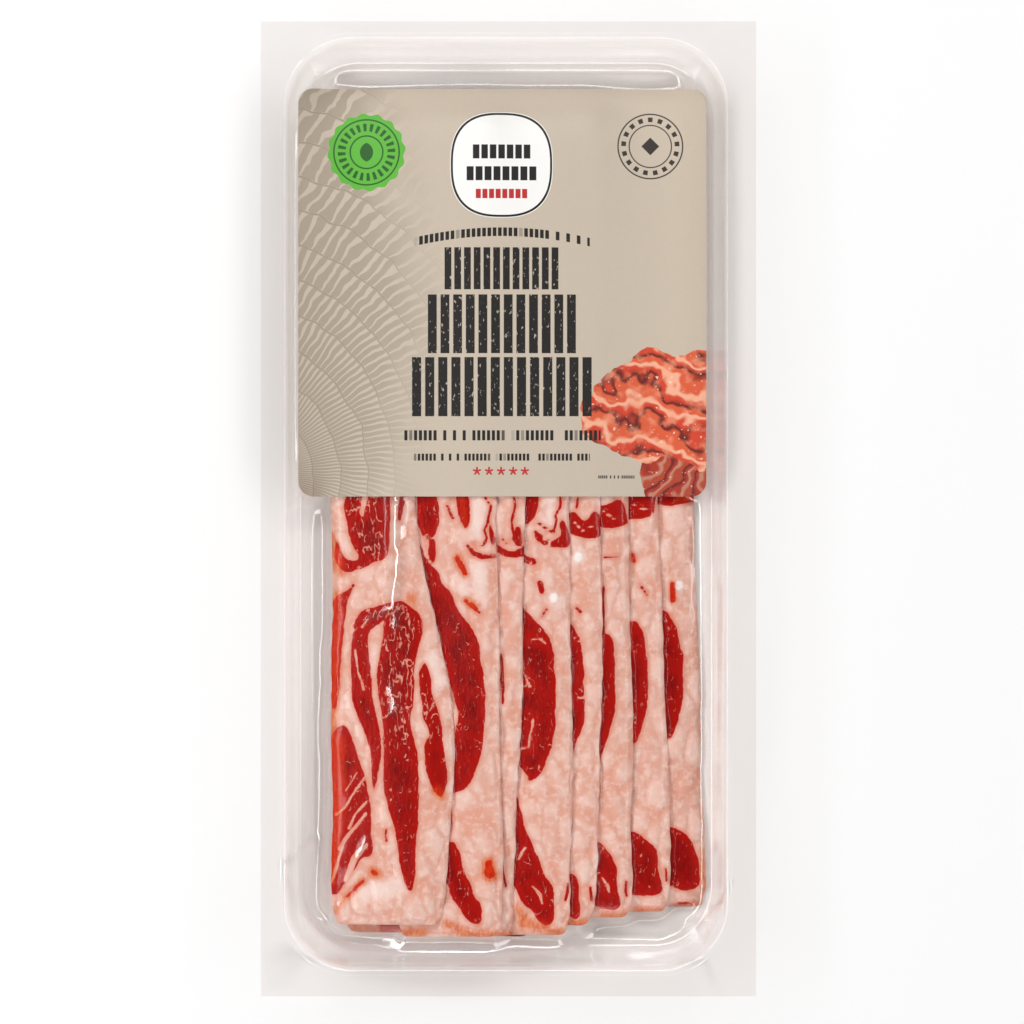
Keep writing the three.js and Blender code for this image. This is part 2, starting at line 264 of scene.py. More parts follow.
# %% Measure the pocket
FLANGE = {"left": 5.9 * MM, "right": 7.2 * MM, "head": 3.8 * MM, "foot": 6.2 * MM}
WALL_RUN = Vector((4.4, 7.6, 0)) * MM
MOUTH_CORNER = 17 * MM
FLOOR_CORNER = 12 * MM
SHEET = 0.45 * MM
WALL_CURVE = ((0, 1), (0.42, 1), (0.2, 0), (1, 0))  # a Bezier curve of (how far in, how high)
mouth_low = Vector((pack_low.x + FLANGE["left"], pack_low.y + FLANGE["foot"], 0))
mouth_high = Vector((pack_high.x - FLANGE["right"], pack_high.y - FLANGE["head"], 0))
mouth_centre = (mouth_low + mouth_high) / 2
mouth_half = (mouth_high - mouth_low) / 2


def wall_section(t):
    """How far in (0 to 1) and how high (0 to 1) the wall is at t along its curve."""
    weights = ((1 - t) ** 3, 3 * t * (1 - t) ** 2, 3 * t**2 * (1 - t), t**3)
    return [sum(w * point[axis] for w, point in zip(weights, WALL_CURVE)) for axis in (0, 1)]


print("The mouth is", [round(2 * v / MM, 1) for v in mouth_half.xy], "mm.")

# %% Helpers for modelling by hand
SAME_PLACE = 0.01 * MM  # what lies closer together than this counts as one


def take(piece):
    """Makes a piece the only chosen one."""
    deselect_all()
    bpy.context.view_layer.objects.active = piece
    piece.select_set(True)


def select_faces(piece, wanted):
    """Selects the faces for which wanted(face) is true, and nothing else."""
    take(piece)
    bpy.ops.object.mode_set(mode="EDIT")
    bpy.ops.mesh.select_mode(type="FACE")
    bpy.ops.mesh.select_all(action="DESELECT")
    bpy.ops.object.mode_set(mode="OBJECT")
    for face in piece.data.polygons:
        face.select = wanted(face)
    bpy.ops.object.mode_set(mode="EDIT")


def apply_modifier(piece, kind, **settings):
    take(piece)
    modifier = piece.modifiers.new(kind.lower(), kind)
    for setting, value in settings.items():
        setattr(modifier, setting, value)
    bpy.ops.object.modifier_apply(modifier=modifier.name)


def cut_sheet(name, centre, width, length, corner, segments):
    """A flat rectangle with rounded corners. Edit Mode stays on."""
    deselect_all()
    bpy.ops.mesh.primitive_plane_add(size=1, location=centre)
    sheet = bpy.context.object
    sheet.name = name
    sheet.scale = (width, length, 1)
    bpy.ops.object.transform_apply(location=True, rotation=True, scale=True)
    bpy.ops.object.mode_set(mode="EDIT")
    bpy.ops.mesh.select_all(action="SELECT")
    bpy.ops.mesh.bevel(affect="VERTICES", offset=corner, segments=segments)
    return sheet


def face_up(piece):
    """Turns a sheet over if it came out face down."""
    if sum(face.normal.z for face in piece.data.polygons) < 0:
        piece.data.flip_normals()


def shade_smooth(piece, sharpest):
    """Shades a piece smooth, save where it bends by more than so many degrees."""
    take(piece)
    bpy.ops.object.shade_smooth_by_angle(angle=math.radians(sharpest))


def points_of(piece):
    """The places of a mesh's points, as a table with a row for each."""
    flat = np.empty(3 * len(piece.data.vertices))
    piece.data.vertices.foreach_get("co", flat)
    return flat.reshape(-1, 3)


def put_points(piece, points):
    piece.data.vertices.foreach_set("co", points.ravel())
    piece.data.update()


# %% Draw the tray down
WALL_STEPS = 20
CORNER_SEGMENTS = 20
TRAY_SHARPEST = 40  # where a sheet bends by more degrees than this, its shading shows an edge


def make_tray():
    top = mouth_centre + Vector((0, 0, pack_high.z))
    width, length = 2 * mouth_half.xy
    tray = cut_sheet("tray_shell", top, width, length, MOUTH_CORNER, CORNER_SEGMENTS)
    bpy.ops.mesh.select_mode(type="FACE")
    bpy.ops.mesh.select_all(action="SELECT")
    depth = pack_high.z - SHEET
    past = (0, 1)
    for step in range(1, WALL_STEPS + 1):
        here = wall_section(step / WALL_STEPS)
        drop = (here[1] - past[1]) * depth
        bpy.ops.mesh.extrude_region_move(TRANSFORM_OT_translate={"value": (0, 0, drop)})
        before, after = [[mouth_half[a] - WALL_RUN[a] * place[0] for a in (0, 1)]
                         for place in (past, here)]
        shrink = [after[a] / before[a] for a in (0, 1)]
        bpy.ops.transform.resize(value=(*shrink, 1), center_override=mouth_centre)
        past = here
    bpy.ops.object.mode_set(mode="OBJECT")
    return tray


def add_flange(tray):
    """Extruding a lone face leaves a lid behind. It goes, and a flange is bridged to its edge."""
    select_faces(tray, lambda face: face.center.z > pack_high.z - SAME_PLACE)
    bpy.ops.mesh.delete(type="ONLY_FACE")
    bpy.ops.mesh.primitive_plane_add(size=1, location=(0, 0, pack_high.z))
    pack_size = pack_high - pack_low
    bpy.ops.transform.resize(value=(pack_size.x, pack_size.y, 1), center_override=(0, 0, 0))
    bpy.ops.mesh.delete(type="ONLY_FACE")
    bpy.ops.mesh.select_mode(type="EDGE")
    bpy.ops.mesh.select_all(action="DESELECT")
    bpy.ops.mesh.select_non_manifold(extend=False)
    bpy.ops.mesh.bridge_edge_loops()
    bpy.ops.mesh.select_all(action="SELECT")
    bpy.ops.mesh.normals_make_consistent(inside=False)
    bpy.ops.object.mode_set(mode="OBJECT")


tray = make_tray()
add_flange(tray)
face_up(tray)
apply_modifier(tray, "SOLIDIFY", thickness=SHEET, offset=-1)
shade_smooth(tray, TRAY_SHARPEST)
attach(tray, "root")
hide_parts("tray")
print("The tray has", len(tray.data.polygons), "faces.")

# %% [markdown]
# ## Clear plastic
#
# Real glass bends light, which is slow to render and seldom matters in a sheet this thin. Letting
# light straight through and adding a mirror that is faint face on and strong at a slant looks the
# same. The Layer Weight node tells how slanted the sheet is seen, and a fifth power turns that into
# the share. Both faces of a sheet mirror, and leaving that to the outer one alone saves half the
# work. The tray takes a little of the blue, so that whatever lies under it is slightly warm. Where
# the film clings to moist meat there is no air behind it, and it mirrors less.

# %% The clear finishes
MIRRORED = 0.1  # the share of light that a sheet's two faces send back together, seen face on
CLING_DULLS = 0.85  # the part of it that is lost where the film clings


def clear_finish(name, colour, roughness, cling=False):
    paint = Finish(name)
    through = paint.node("ShaderNodeBsdfTransparent", {}, colour)
    white = tint(255, 255, 255)
    mirror = paint.node("ShaderNodeBsdfAnisotropic", {"distribution": "GGX"}, white, roughness)
    slant = paint.node("ShaderNodeLayerWeight", {}, Blend=0.5, out="Facing")
    inside = paint.node("ShaderNodeNewGeometry", {}, out="Backfacing")
    share = (MIRRORED + (1 - MIRRORED) * slant**5) * (1 - inside)
    if cling:
        share = share * (1 - CLING_DULLS * paint.attribute("cling"))
    return paint.surface(paint.node("ShaderNodeMixShader", {}, share, through, mirror))


tray_clear = clear_finish("clear_tray", tint(255, 254, 253), 0.1)
film_clear = clear_finish("clear_film", tint(255, 254, 254), 0.12, cling=True)
dress(tray, tray_clear)

# %% [markdown]
# ## The rashers
#
# The frame's rashers have the right place, bend and outline, but few faces. So each is copied, its
# loose triangles are merged into one skin, and Subdivision Surface rounds it. The part that shows
# is halved once more, to hold the thin streaks that come next.

# %% Finer rashers
RASHERS = [name for name in sorted(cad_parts) if name.startswith("rasher_")]
LOWEST = ("rasher_9", "rasher_10")  # these show only at the foot
LEVELS = 3
SHOWN_TO = 5 * MM  # the meat shows below this Y, and above it the label hides it
# The X in mm from which each rasher shows, where the ones on top hide much of it.
SHOWN_FROM = {"rasher_4": 0, "rasher_5": 13, "rasher_6": 20, "rasher_7": 29, "rasher_8": 37}
LEFT_OF_ALL = -60
UPWARD = 0.1  # a face shows if its normal rises by more than this


def fine_copy(name):
    """A smooth copy of a rasher, without the CAD node's parent and tags."""
    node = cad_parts[name]
    piece = node.copy()
    piece.data = node.data.copy()
    piece.name = f"{name}_meat"
    piece.parent = None
    for key in list(piece.keys()):
        del piece[key]
    scene.collection.objects.link(piece)
    take(piece)
    bpy.ops.object.mode_set(mode="EDIT")
    bpy.ops.mesh.select_all(action="SELECT")
    bpy.ops.mesh.remove_doubles(threshold=SAME_PLACE)
    bpy.ops.mesh.tris_convert_to_quads()
    bpy.ops.object.mode_set(mode="OBJECT")
    apply_modifier(piece, "SUBSURF", levels=LEVELS, render_levels=LEVELS)
    return piece


def fit_to(piece, name):
    """Rounding draws a mesh in a little. This stretches it back to its node's width and length."""
    points = points_of(piece)
    now_low, now_high = points.min(axis=0), points.max(axis=0)
    low, high = [np.array(corner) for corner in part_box(name)]
    for axis in (0, 1):
        share = (points[:, axis] - now_low[axis]) / (now_high[axis] - now_low[axis])
        points[:, axis] = low[axis] + share * (high[axis] - low[axis])
    put_points(piece, points)


def refine_shown(piece, left):
    """Halves the faces that show, so that thin streaks have points to lie on."""
    select_faces(piece, lambda face: face.normal.z > UPWARD
                 and face.center.y < SHOWN_TO and face.center.x > left)
    bpy.ops.mesh.subdivide(number_cuts=1)
    bpy.ops.object.mode_set(mode="OBJECT")


meat = {}
for name in RASHERS:
    piece = fine_copy(name)
    fit_to(piece, name)
    if name not in LOWEST:
        refine_shown(piece, SHOWN_FROM.get(name, LEFT_OF_ALL) * MM)
    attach(piece, "root")
    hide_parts(name)
    meat[name] = piece
    print(piece.name, len(piece.data.polygons), "faces")

# %% [markdown]
# ## Where the lean is
#
# Bacon is lean in fat, and in real bacon each patch has its own shape. So each is drawn in
# mm, as the pack is seen from above: broad patches as closed outlines, and thin ones as strokes of
# a brush, a line of places with half its width at each. Some strokes scrape fat back out of the
# lean. How deep a point lies inside the nearest patch is stored on the mesh, minus outside, and the
# finish turns it into colour. Four more tables say where the meat is marbled, where smoke has
# browned it, where the fat is palest, and where beads of white fat stand out.
# Each bead's spot is painted near white: white fat, and a painted highlight on it.

# %% The patches of lean
PATCHES = {
    "rasher_1": [
        # the head patch, with its hook to the left
        [(-30.1, 8.0), (-41.6, 8.0), (-41.6, 3.1), (-42.5, 0.6), (-41.6, -3.0), (-41.1, -6.2),
         (-40.2, -9.5), (-38.2, -12.0), (-38.7, -13.3), (-40.9, -13.4), (-42.7, -12.0),
         (-44.1, -7.7), (-44.9, -9.8), (-44.6, -13.8), (-42.1, -16.7), (-39.1, -15.6),
         (-36.2, -14.9), (-34.4, -13.4), (-31.9, -13.3), (-30.4, -10.6), (-30.4, -1.5)],
        # a sliver along the left edge
        [(-40.1, -20.3), (-42.9, -21.5), (-45.4, -23.3), (-46.2, -33.6), (-46.6, -43.8),
         (-46.0, -50.0), (-44.4, -52.5), (-43.6, -46.4), (-43.0, -38.7), (-42.3, -28.5),
         (-41.4, -23.3)],
        # two long bands, joined at the head
        [(-38.0, -26.0), (-34.7, -25.3), (-31.9, -24.6), (-28.3, -23.5), (-27.0, -26.0),
         (-31.9, -28.6), (-34.0, -30.0), (-36.2, -31.8), (-36.2, -33.9), (-35.8, -37.5),
         (-35.3, -42.9), (-35.0, -49.0), (-33.5, -54.5), (-32.6, -59.6), (-32.6, -63.8),
         (-33.7, -69.4), (-34.5, -73.2), (-35.0, -70.3), (-35.2, -63.0), (-36.5, -58.3),
         (-38.6, -53.6), (-40.4, -49.0), (-40.5, -39.3), (-40.2, -32.1), (-39.6, -28.5)],
        [(-31.9, -25.0), (-28.3, -23.5), (-26.7, -23.8), (-22.9, -27.1), (-21.8, -30.3),
         (-22.9, -35.0), (-23.9, -39.0), (-24.3, -42.9), (-24.1, -49.0), (-25.5, -54.5),
         (-24.1, -59.2), (-23.0, -64.3), (-23.0, -78.7), (-23.7, -85.5), (-23.7, -91.5),
         (-24.2, -97.0), (-25.2, -98.5), (-26.3, -96.5), (-27.9, -91.5), (-28.4, -85.5),
         (-30.2, -78.7), (-32.0, -72.8), (-32.0, -64.3), (-32.0, -59.2), (-32.2, -54.5),
         (-33.3, -49.0), (-34.0, -42.9), (-33.3, -39.0), (-32.6, -35.7), (-32.2, -31.4)],
        # a short band to their right
        [(-21.6, -38.6), (-19.8, -42.9), (-20.0, -46.5), (-18.6, -50.3), (-17.5, -53.2),
         (-16.9, -57.5), (-16.7, -61.3), (-16.1, -65.1), (-15.4, -68.5), (-16.1, -72.0),
         (-17.3, -74.7), (-19.4, -72.0), (-20.9, -68.1), (-21.6, -63.4), (-21.4, -59.6),
         (-19.8, -58.0), (-22.0, -53.6), (-22.0, -50.7), (-22.8, -46.5), (-23.2, -42.9)],
        # the browned patch at the foot
        [(-42.2, -55.4), (-41.1, -57.0), (-39.9, -59.2), (-38.6, -64.3), (-36.7, -68.5),
         (-36.0, -72.8), (-35.0, -78.7), (-35.6, -83.0), (-34.5, -86.8), (-35.2, -89.4),
         (-37.7, -89.4), (-39.4, -92.4), (-41.1, -95.3), (-43.3, -97.9), (-44.5, -99.6),
         (-47.4, -98.0), (-48.0, -91.5), (-48.0, -85.1), (-47.6, -78.7), (-47.4, -70.0),
         (-46.6, -61.7), (-44.6, -56.5)],
    ],
    "rasher_2": [
        [(-23.6, 6.0), (-23.4, 0.6), (-23.4, -4.1), (-22.2, -6.2), (-21.1, -9.5), (-20.4, -13.1),
         (-18.7, -14.2), (-18.6, -9.8), (-18.9, -6.9), (-17.8, -4.4), (-17.7, -0.8), (-18.9, 6.0)],
        [(-24.7, -9.1), (-22.7, -8.7), (-21.8, -11.3), (-20.4, -14.2), (-17.8, -15.9),
         (-17.5, -18.8), (-14.6, -21.3), (-13.2, -25.7), (-11.0, -28.5), (-9.2, -30.7),
         (-7.4, -35.0), (-7.2, -39.3), (-6.3, -43.6), (-5.9, -49.0), (-6.1, -55.4), (-6.5, -60.9),
         (-7.1, -63.8), (-8.6, -67.7), (-9.2, -69.8), (-11.4, -72.4), (-15.2, -73.2),
         (-15.6, -71.9), (-13.9, -68.5), (-14.3, -63.4), (-13.5, -56.6), (-12.6, -52.4),
         (-13.9, -49.0), (-15.3, -44.0), (-16.4, -39.3), (-17.1, -36.8), (-19.6, -35.7),
         (-21.1, -32.1), (-21.8, -28.5), (-22.2, -24.9), (-24.3, -23.8), (-24.7, -17.7)],
        [(-15.6, -74.9), (-14.6, -77.1), (-14.1, -80.0), (-15.0, -83.8), (-16.5, -80.9),
         (-16.9, -78.3)],
        [(-17.3, -84.7), (-15.6, -85.8), (-13.9, -85.1), (-12.0, -89.4), (-11.6, -93.2),
         (-9.2, -97.0), (-8.8, -100.0), (-7.3, -100.9), (-6.5, -104.7), (-7.7, -107.0),
         (-10.5, -105.9), (-12.2, -103.0), (-14.8, -100.0), (-15.2, -97.0), (-17.1, -94.9),
         (-17.1, -90.2), (-17.7, -86.8)],
        [(-13.5, 5.0), (-10.2, 5.0), (-10.0, -0.5), (-9.6, -2.6), (-10.8, -5.6), (-12.3, -3.0),
         (-13.2, 0.0)],
    ],
    "rasher_4": [
        [(0.0, -28.0), (3.3, -24.5), (6.2, -28.2), (8.2, -29.7), (10.9, -33.5), (11.4, -36.2),
         (11.8, -41.0), (12.3, -45.9), (12.1, -53.3), (11.8, -57.9), (10.3, -63.6), (8.4, -68.1),
         (5.4, -70.4), (4.7, -68.5), (2.9, -66.6), (0.0, -62.0)],
        [(-1.0, -76.0), (2.0, -73.3), (2.8, -75.5), (4.1, -81.9), (6.5, -87.2), (8.6, -91.7),
         (9.0, -93.9), (10.7, -95.8), (11.6, -98.5), (11.8, -103.3), (11.6, -106.7), (9.5, -107.3),
         (7.3, -105.6), (6.2, -103.3), (4.3, -102.2), (2.4, -99.2), (1.1, -96.6), (-1.0, -95.0)],
        [(4.0, 6.0), (7.8, 6.0), (7.8, -0.3), (6.3, -2.8), (4.7, -4.4), (2.5, -3.6)],
        [(6.5, -5.4), (7.8, -5.9), (9.0, -7.3), (11.7, -8.4), (14.0, -6.1), (12.9, -4.3),
         (13.6, -2.5), (14.9, -3.8), (15.9, -7.0), (15.8, -10.0), (11.7, -10.0), (8.1, -9.1),
         (6.5, -7.3)],
    ],
    "rasher_5": [
        [(13.0, -32.0), (15.8, -29.0), (16.9, -30.8), (18.4, -33.1), (19.0, -35.7), (19.3, -41.4),
         (19.3, -45.9), (19.6, -49.7), (19.5, -54.1), (18.6, -57.9), (17.4, -59.8), (16.7, -63.2),
         (13.0, -60.0)],
        [(14.0, -94.0), (16.0, -93.6), (17.4, -94.3), (18.3, -96.6), (18.0, -99.2), (18.6, -103.3),
         (18.2, -105.4), (17.1, -105.8), (16.0, -104.9), (14.0, -103.0)],
        [(13.5, -1.5), (15.9, -1.0), (17.2, -0.6), (19.1, -3.3), (20.9, -2.5), (21.4, -0.8),
         (23.2, -0.6), (23.9, -4.3), (24.1, -6.6), (22.3, -7.7), (19.1, -7.5), (16.5, -6.6),
         (13.5, -5.5)],
    ],
    "rasher_6": [
        [(21.5, -33.0), (24.6, -32.0), (26.5, -32.4), (27.1, -35.7), (27.6, -40.3), (27.4, -42.9),
         (27.7, -49.7), (27.2, -53.1), (26.1, -57.2), (25.0, -60.6), (23.8, -63.2), (23.1, -66.6),
         (21.5, -62.0)],
        [(20.5, -86.0), (22.5, -85.6), (23.8, -86.0), (25.7, -88.3), (27.2, -90.2), (28.0, -92.8),
         (27.6, -95.8), (28.9, -101.1), (28.5, -103.0), (26.1, -103.3), (23.1, -102.6),
         (20.5, -101.0)],
        [(22.5, 0.8), (25.0, 0.8), (28.2, 2.6), (29.6, 2.1), (31.0, -3.3), (30.0, -4.3),
         (26.4, -5.0), (24.3, -5.0), (22.5, -4.0)],
    ],
    "rasher_7": [
        [(30.0, -30.0), (32.5, -28.2), (34.7, -31.2), (35.1, -34.6), (35.7, -38.4), (36.1, -47.4),
         (35.7, -51.5), (34.7, -55.7), (33.6, -58.7), (32.7, -61.0), (30.0, -58.0)],
        [(29.5, -84.0), (31.9, -83.0), (33.3, -83.4), (35.5, -85.3), (37.8, -87.2), (38.7, -89.4),
         (38.3, -93.6), (39.8, -97.3), (39.5, -99.0), (37.0, -99.7), (32.9, -99.6), (29.5, -98.5)],
        [(29.0, 6.0), (38.2, 6.0), (37.8, -0.6), (36.0, -2.2), (33.3, -2.7), (29.0, -2.7)],
    ],
    "rasher_8": [
        [(38.0, -27.0), (40.0, -25.6), (42.3, -28.2), (43.8, -31.6), (44.3, -35.7), (45.3, -37.6),
         (44.7, -41.0), (45.1, -45.5), (44.5, -51.2), (43.4, -55.7), (41.5, -60.2), (38.0, -57.0)],
        [(39.0, -82.0), (42.1, -81.9), (43.8, -82.6), (46.8, -84.5), (48.3, -88.3), (49.2, -91.3),
         (49.4, -95.8), (48.3, -97.9), (45.6, -98.5), (42.6, -97.7), (39.0, -96.0)],
        [(37.5, 6.0), (49.6, 6.0), (49.0, 2.6), (47.0, 1.5), (44.6, 1.2), (41.5, 0.5), (37.5, 1.5)],
    ],
}

# %% The thin streaks
# Each stroke is a line of (x, y, half width) in mm.
STREAKS = {
    "rasher_1": [
        [(-27.1, 2.9, 0.8), (-28.1, -2.5, 0.5)],
        [(-39.9, -19.6, 0.35), (-41.2, -21.4, 0.5)],
        [(-31.5, -82.5, 0.3), (-31.3, -85.5, 0.3)],
        [(-34.9, -93.2, 0.6), (-33.9, -93.7, 0.5)],
        [(-37.3, -95.7, 0.4), (-41.6, -99.6, 0.3)],
    ],
    "rasher_2": [
        [(-16.0, 1.0, 0.3), (-14.2, -2.3, 0.4)],
        [(-13.1, -12.6, 0.6), (-12.0, -14.8, 0.8), (-11.0, -16.7, 0.5)],
        [(-11.0, -23.5, 0.4), (-8.9, -25.0, 0.7), (-7.3, -26.7, 0.3)],
        [(-6.1, 3.1, 0.32), (-4.5, 0.8, 0.32), (-5.2, -3.3, 0.32), (-6.1, -5.6, 0.32),
         (-5.4, -8.0, 0.32), (-6.6, -9.3, 0.32), (-8.9, -8.9, 0.32)],
        [(-4.6, -4.8, 0.5), (-3.8, -8.5, 0.7)],
        [(-10.7, -9.2, 0.3), (-8.9, -11.5, 0.6), (-6.6, -12.3, 0.7), (-3.4, -12.1, 0.5)],
        [(-5.0, -91.2, 1.0), (-4.8, -93.6, 1.3)],
    ],
    "rasher_3": [
        [(1.2, 3.0, 0.32), (1.8, 0.5, 0.32), (0.8, -3.0, 0.32), (1.6, -8.0, 0.32),
         (-0.6, -8.6, 0.32), (-1.8, -7.5, 0.32)],
        [(2.5, -5.5, 0.9), (2.6, -8.6, 1.0)],
        [(-3.2, -10.0, 0.9), (-0.5, -11.5, 0.8), (2.0, -11.7, 0.9), (4.5, -10.8, 1.3)],
        [(-1.8, -37.6, 0.32), (-1.6, -44.0, 0.5), (-1.3, -50.0, 0.32)],
        [(-1.6, -92.0, 0.32), (-0.6, -97.0, 0.3)],
    ],
    "rasher_4": [
        [(3.2, -12.5, 1.0), (6.5, -13.6, 0.8)],
        [(13.3, 3.1, 0.32), (13.6, 0.8, 0.32), (12.2, -1.5, 0.32), (12.4, -3.3, 0.32),
         (11.7, -6.1, 0.32), (9.9, -5.2, 0.32), (8.1, -3.8, 0.32), (6.7, -3.3, 0.32)],
        [(8.0, -19.2, 0.8), (8.6, -21.3, 0.6)],
        [(8.6, -27.5, 0.3), (9.8, -25.8, 0.32)],
        [(15.2, -96.5, 0.35), (14.7, -100.5, 0.4)],
    ],
    "rasher_5": [
        [(17.6, -25.5, 0.32), (18.5, -26.4, 0.5)],
        [(21.1, -97.5, 0.4), (21.4, -100.5, 0.4)],
        [(18.0, 3.0, 0.32), (17.4, 0.4, 0.32)],
    ],
    "rasher_6": [
        [(24.4, -20.0, 0.32), (24.5, -32.0, 0.4)],
        [(24.6, -12.4, 0.35), (28.0, -12.1, 0.35)],
        [(30.2, -96.0, 0.35), (30.4, -99.5, 0.4)],
    ],
    "rasher_7": [
        [(33.8, -19.8, 0.32), (35.5, -22.0, 0.3)],
        [(32.0, -12.0, 0.5), (32.2, -13.4, 0.6)],
        [(40.4, -92.8, 0.3), (40.6, -95.8, 0.35)],
    ],
    "rasher_8": [
        [(42.2, -19.5, 0.7), (42.5, -23.5, 0.7)],
        [(43.8, -101.7, 0.35), (47.5, -101.5, 0.35)],
    ],
    "rasher_9": [[(-25.0, 0.0, 8.0), (-25.0, -112.0, 8.0)]],
    "rasher_10": [[(-3.0, 0.0, 9.0), (-3.0, -112.0, 9.0)]],
}
# Strokes that scrape fat back out of the lean.
FAT_SEAMS = {
    "rasher_1": [
        [(-36.8, 3.5, 0.8), (-37.6, -1.3, 0.6)],
        [(-44.3, -78.7, 0.3), (-42.2, -77.1, 0.3), (-40.7, -74.5, 0.3), (-37.1, -69.4, 0.3)],
        [(-41.1, -82.2, 0.35), (-39.4, -78.7, 0.3), (-36.5, -75.3, 0.35)],
        [(-43.3, -87.3, 0.4), (-41.1, -83.8, 0.5), (-36.5, -78.3, 0.35)],
        [(-45.4, -96.2, 0.3), (-44.1, -91.5, 0.4), (-42.4, -86.4, 0.35)],
        [(-41.6, -95.3, 0.7), (-39.4, -89.7, 0.9), (-36.5, -86.4, 0.6)],
        [(-41.7, -72.4, 0.2), (-38.7, -67.5, 0.2)],
        [(-39.4, -36.2, 0.3), (-38.7, -41.5, 0.25), (-37.3, -46.4, 0.35)],
        [(-40.2, -31.2, 0.3), (-37.6, -30.6, 0.3), (-36.4, -28.6, 0.3)],
    ],
    "rasher_2": [
        [(-22.9, -7.5, 0.3), (-21.0, -6.8, 0.35), (-18.6, -7.6, 0.3)],
        [(-21.6, -12.0, 0.3), (-20.6, -9.0, 0.5), (-21.6, -7.6, 0.4)],
    ],
    "rasher_4": [
        [(3.0, -61.6, 0.3), (5.0, -61.2, 0.3), (5.6, -58.4, 0.25), (6.3, -54.0, 0.3)],
        [(3.5, -41.5, 0.25), (5.5, -45.8, 0.35)],
        [(2.6, -45.6, 0.2), (4.4, -45.7, 0.25)],
        [(6.0, -33.6, 0.2), (8.0, -33.2, 0.35), (9.6, -34.6, 0.3)],
        [(2.6, -90.0, 0.3), (4.2, -87.2, 0.4)],
        [(6.0, -97.0, 0.25), (8.0, -99.2, 0.4), (8.8, -101.4, 0.3)],
        [(9.0, -7.6, 0.35), (10.5, -8.8, 0.3)],
    ],
    "rasher_7": [[(31.4, 1.5, 0.25), (34.0, 0.2, 0.3), (37.0, -0.6, 0.25)]],
    "rasher_6": [[(24.5, -0.6, 0.25), (27.0, -2.4, 0.35), (29.5, -2.0, 0.25)],
                 [(24.0, -95.0, 0.2), (25.5, -97.0, 0.4), (26.0, -98.5, 0.3)]],
    "rasher_5": [[(18.0, -48.6, 0.3), (19.6, -48.3, 0.3)],
                 [(16.6, -33.0, 0.25), (18.2, -34.0, 0.3)],
                 [(17.0, -3.5, 0.3), (19.0, -5.6, 0.35), (22.5, -4.0, 0.3)]],
}
MARBLED = [
    [(-36.5, 0.0, 5.0), (-35.0, -9.0, 4.0)],
    [(-36.0, -27.5, 1.5), (-30.0, -26.0, 3.0), (-27.5, -32.0, 5.0), (-28.6, -46.0, 6.0)],
    [(-28.6, -46.0, 6.0), (-28.5, -60.0, 3.0)],
    [(-20.0, -45.0, 2.0), (-19.0, -58.0, 2.0)],
]
SMOKED = [
    [(-45.6, -7.0, 1.2), (-45.0, -14.0, 2.6), (-43.0, -16.8, 0.8)],
    [(-44.9, -23.0, 2.2), (-45.0, -40.0, 1.8), (-46.0, -60.0, 1.6)],
    [(-45.6, -60.0, 3.4), (-45.6, -78.0, 3.6), (-46.5, -95.0, 2.0)],
    [(-34.6, -93.3, 1.5), (-33.6, -93.6, 1.2)],
    [(-37.3, -95.7, 0.8), (-41.6, -99.6, 0.8), (-44.4, -103.5, 0.7)],
    [(-25.0, -22.8, 1.6), (-24.6, -24.0, 1.0)],
    [(-18.4, -72.5, 1.2), (-17.0, -74.0, 0.8)],
    [(-12.9, -12.8, 1.2), (-11.2, -16.7, 1.0)],
    [(-10.6, -23.6, 1.0), (-8.6, -24.9, 1.2)],
    [(-12.0, 3.0, 0.4), (-11.0, -4.0, 0.4)],
    [(-4.9, -91.0, 1.8), (-4.7, -93.8, 2.4)],
    [(-40.0, -108.6, 1.6), (-22.0, -108.8, 1.2)],
    [(-16.0, -106.6, 1.2), (-10.0, -109.4, 1.4), (0.0, -109.6, 1.2)],
    [(2.4, -102.5, 1.0), (4.4, -106.6, 1.8), (14.0, -109.2, 0.9)],
    [(16.6, -106.8, 1.4), (23.0, -106.6, 1.0)],
    [(24.5, -104.8, 0.9), (32.0, -104.6, 0.7)],
    [(33.0, -103.4, 0.8), (42.0, -103.2, 0.7)],
    [(43.0, -102.3, 0.7), (50.5, -101.9, 0.6)],
    [(42.2, -19.5, 0.9), (42.5, -23.5, 0.8)],
    [(32.0, -12.0, 0.7), (32.2, -13.4, 0.8)],
    [(44.0, 3.0, 1.0), (47.0, 3.0, 1.4)],
    [(50.3, -40.0, 0.8), (50.6, -60.0, 1.0)],
    [(50.0, -88.0, 0.5), (50.3, -98.0, 0.7)],
]
# Three round spots lie on the white beads and add to their painted highlight.
PALE = [
    [(-37.0, -98.5, 2.0), (-28.0, -97.0, 2.4)],
    [(-7.8, -15.9, 2.2), (-7.0, -21.0, 1.8)],
    [(-12.1, -20.3, 1.0), (-10.5, -22.0, 0.6)],
    [(-8.0, 2.0, 2.0), (-8.2, -6.0, 1.6)],
    [(11.0, 2.0, 1.2), (10.6, -3.0, 1.4)],
    [(17.8, -12.3, 1.7), (18.1, -12.4, 1.7)],
    [(11.7, -22.8, 1.5), (11.8, -22.9, 1.5)],
    [(43.9, -19.7, 1.4), (43.9, -19.9, 1.4)],
    [(-19.5, -38.0, 1.6), (-17.5, -44.0, 1.6)],
]
# Beads of white fat, raised as domes; each spot is painted near white, with a painted highlight.
WHITE_BEADS_AND_GLINTS = [(17.9, -12.3), (11.7, -22.8), (43.9, -19.7)]
BEAD_AND_GLINT_SPOT = 1.2


# %% Paint the patches on the meat
FAR = 50.0  # mm, farther than any patch is deep


def rounded(outline):
    """Cuts the corners of a closed outline, twice."""
    line = np.array(outline)
    for turn in range(2):
        after = np.roll(line, -1, axis=0)
        cuts = [(1 - share) * line + share * after for share in (0.25, 0.75)]
        line = np.stack(cuts, axis=1).reshape(-1, 2)
    return line


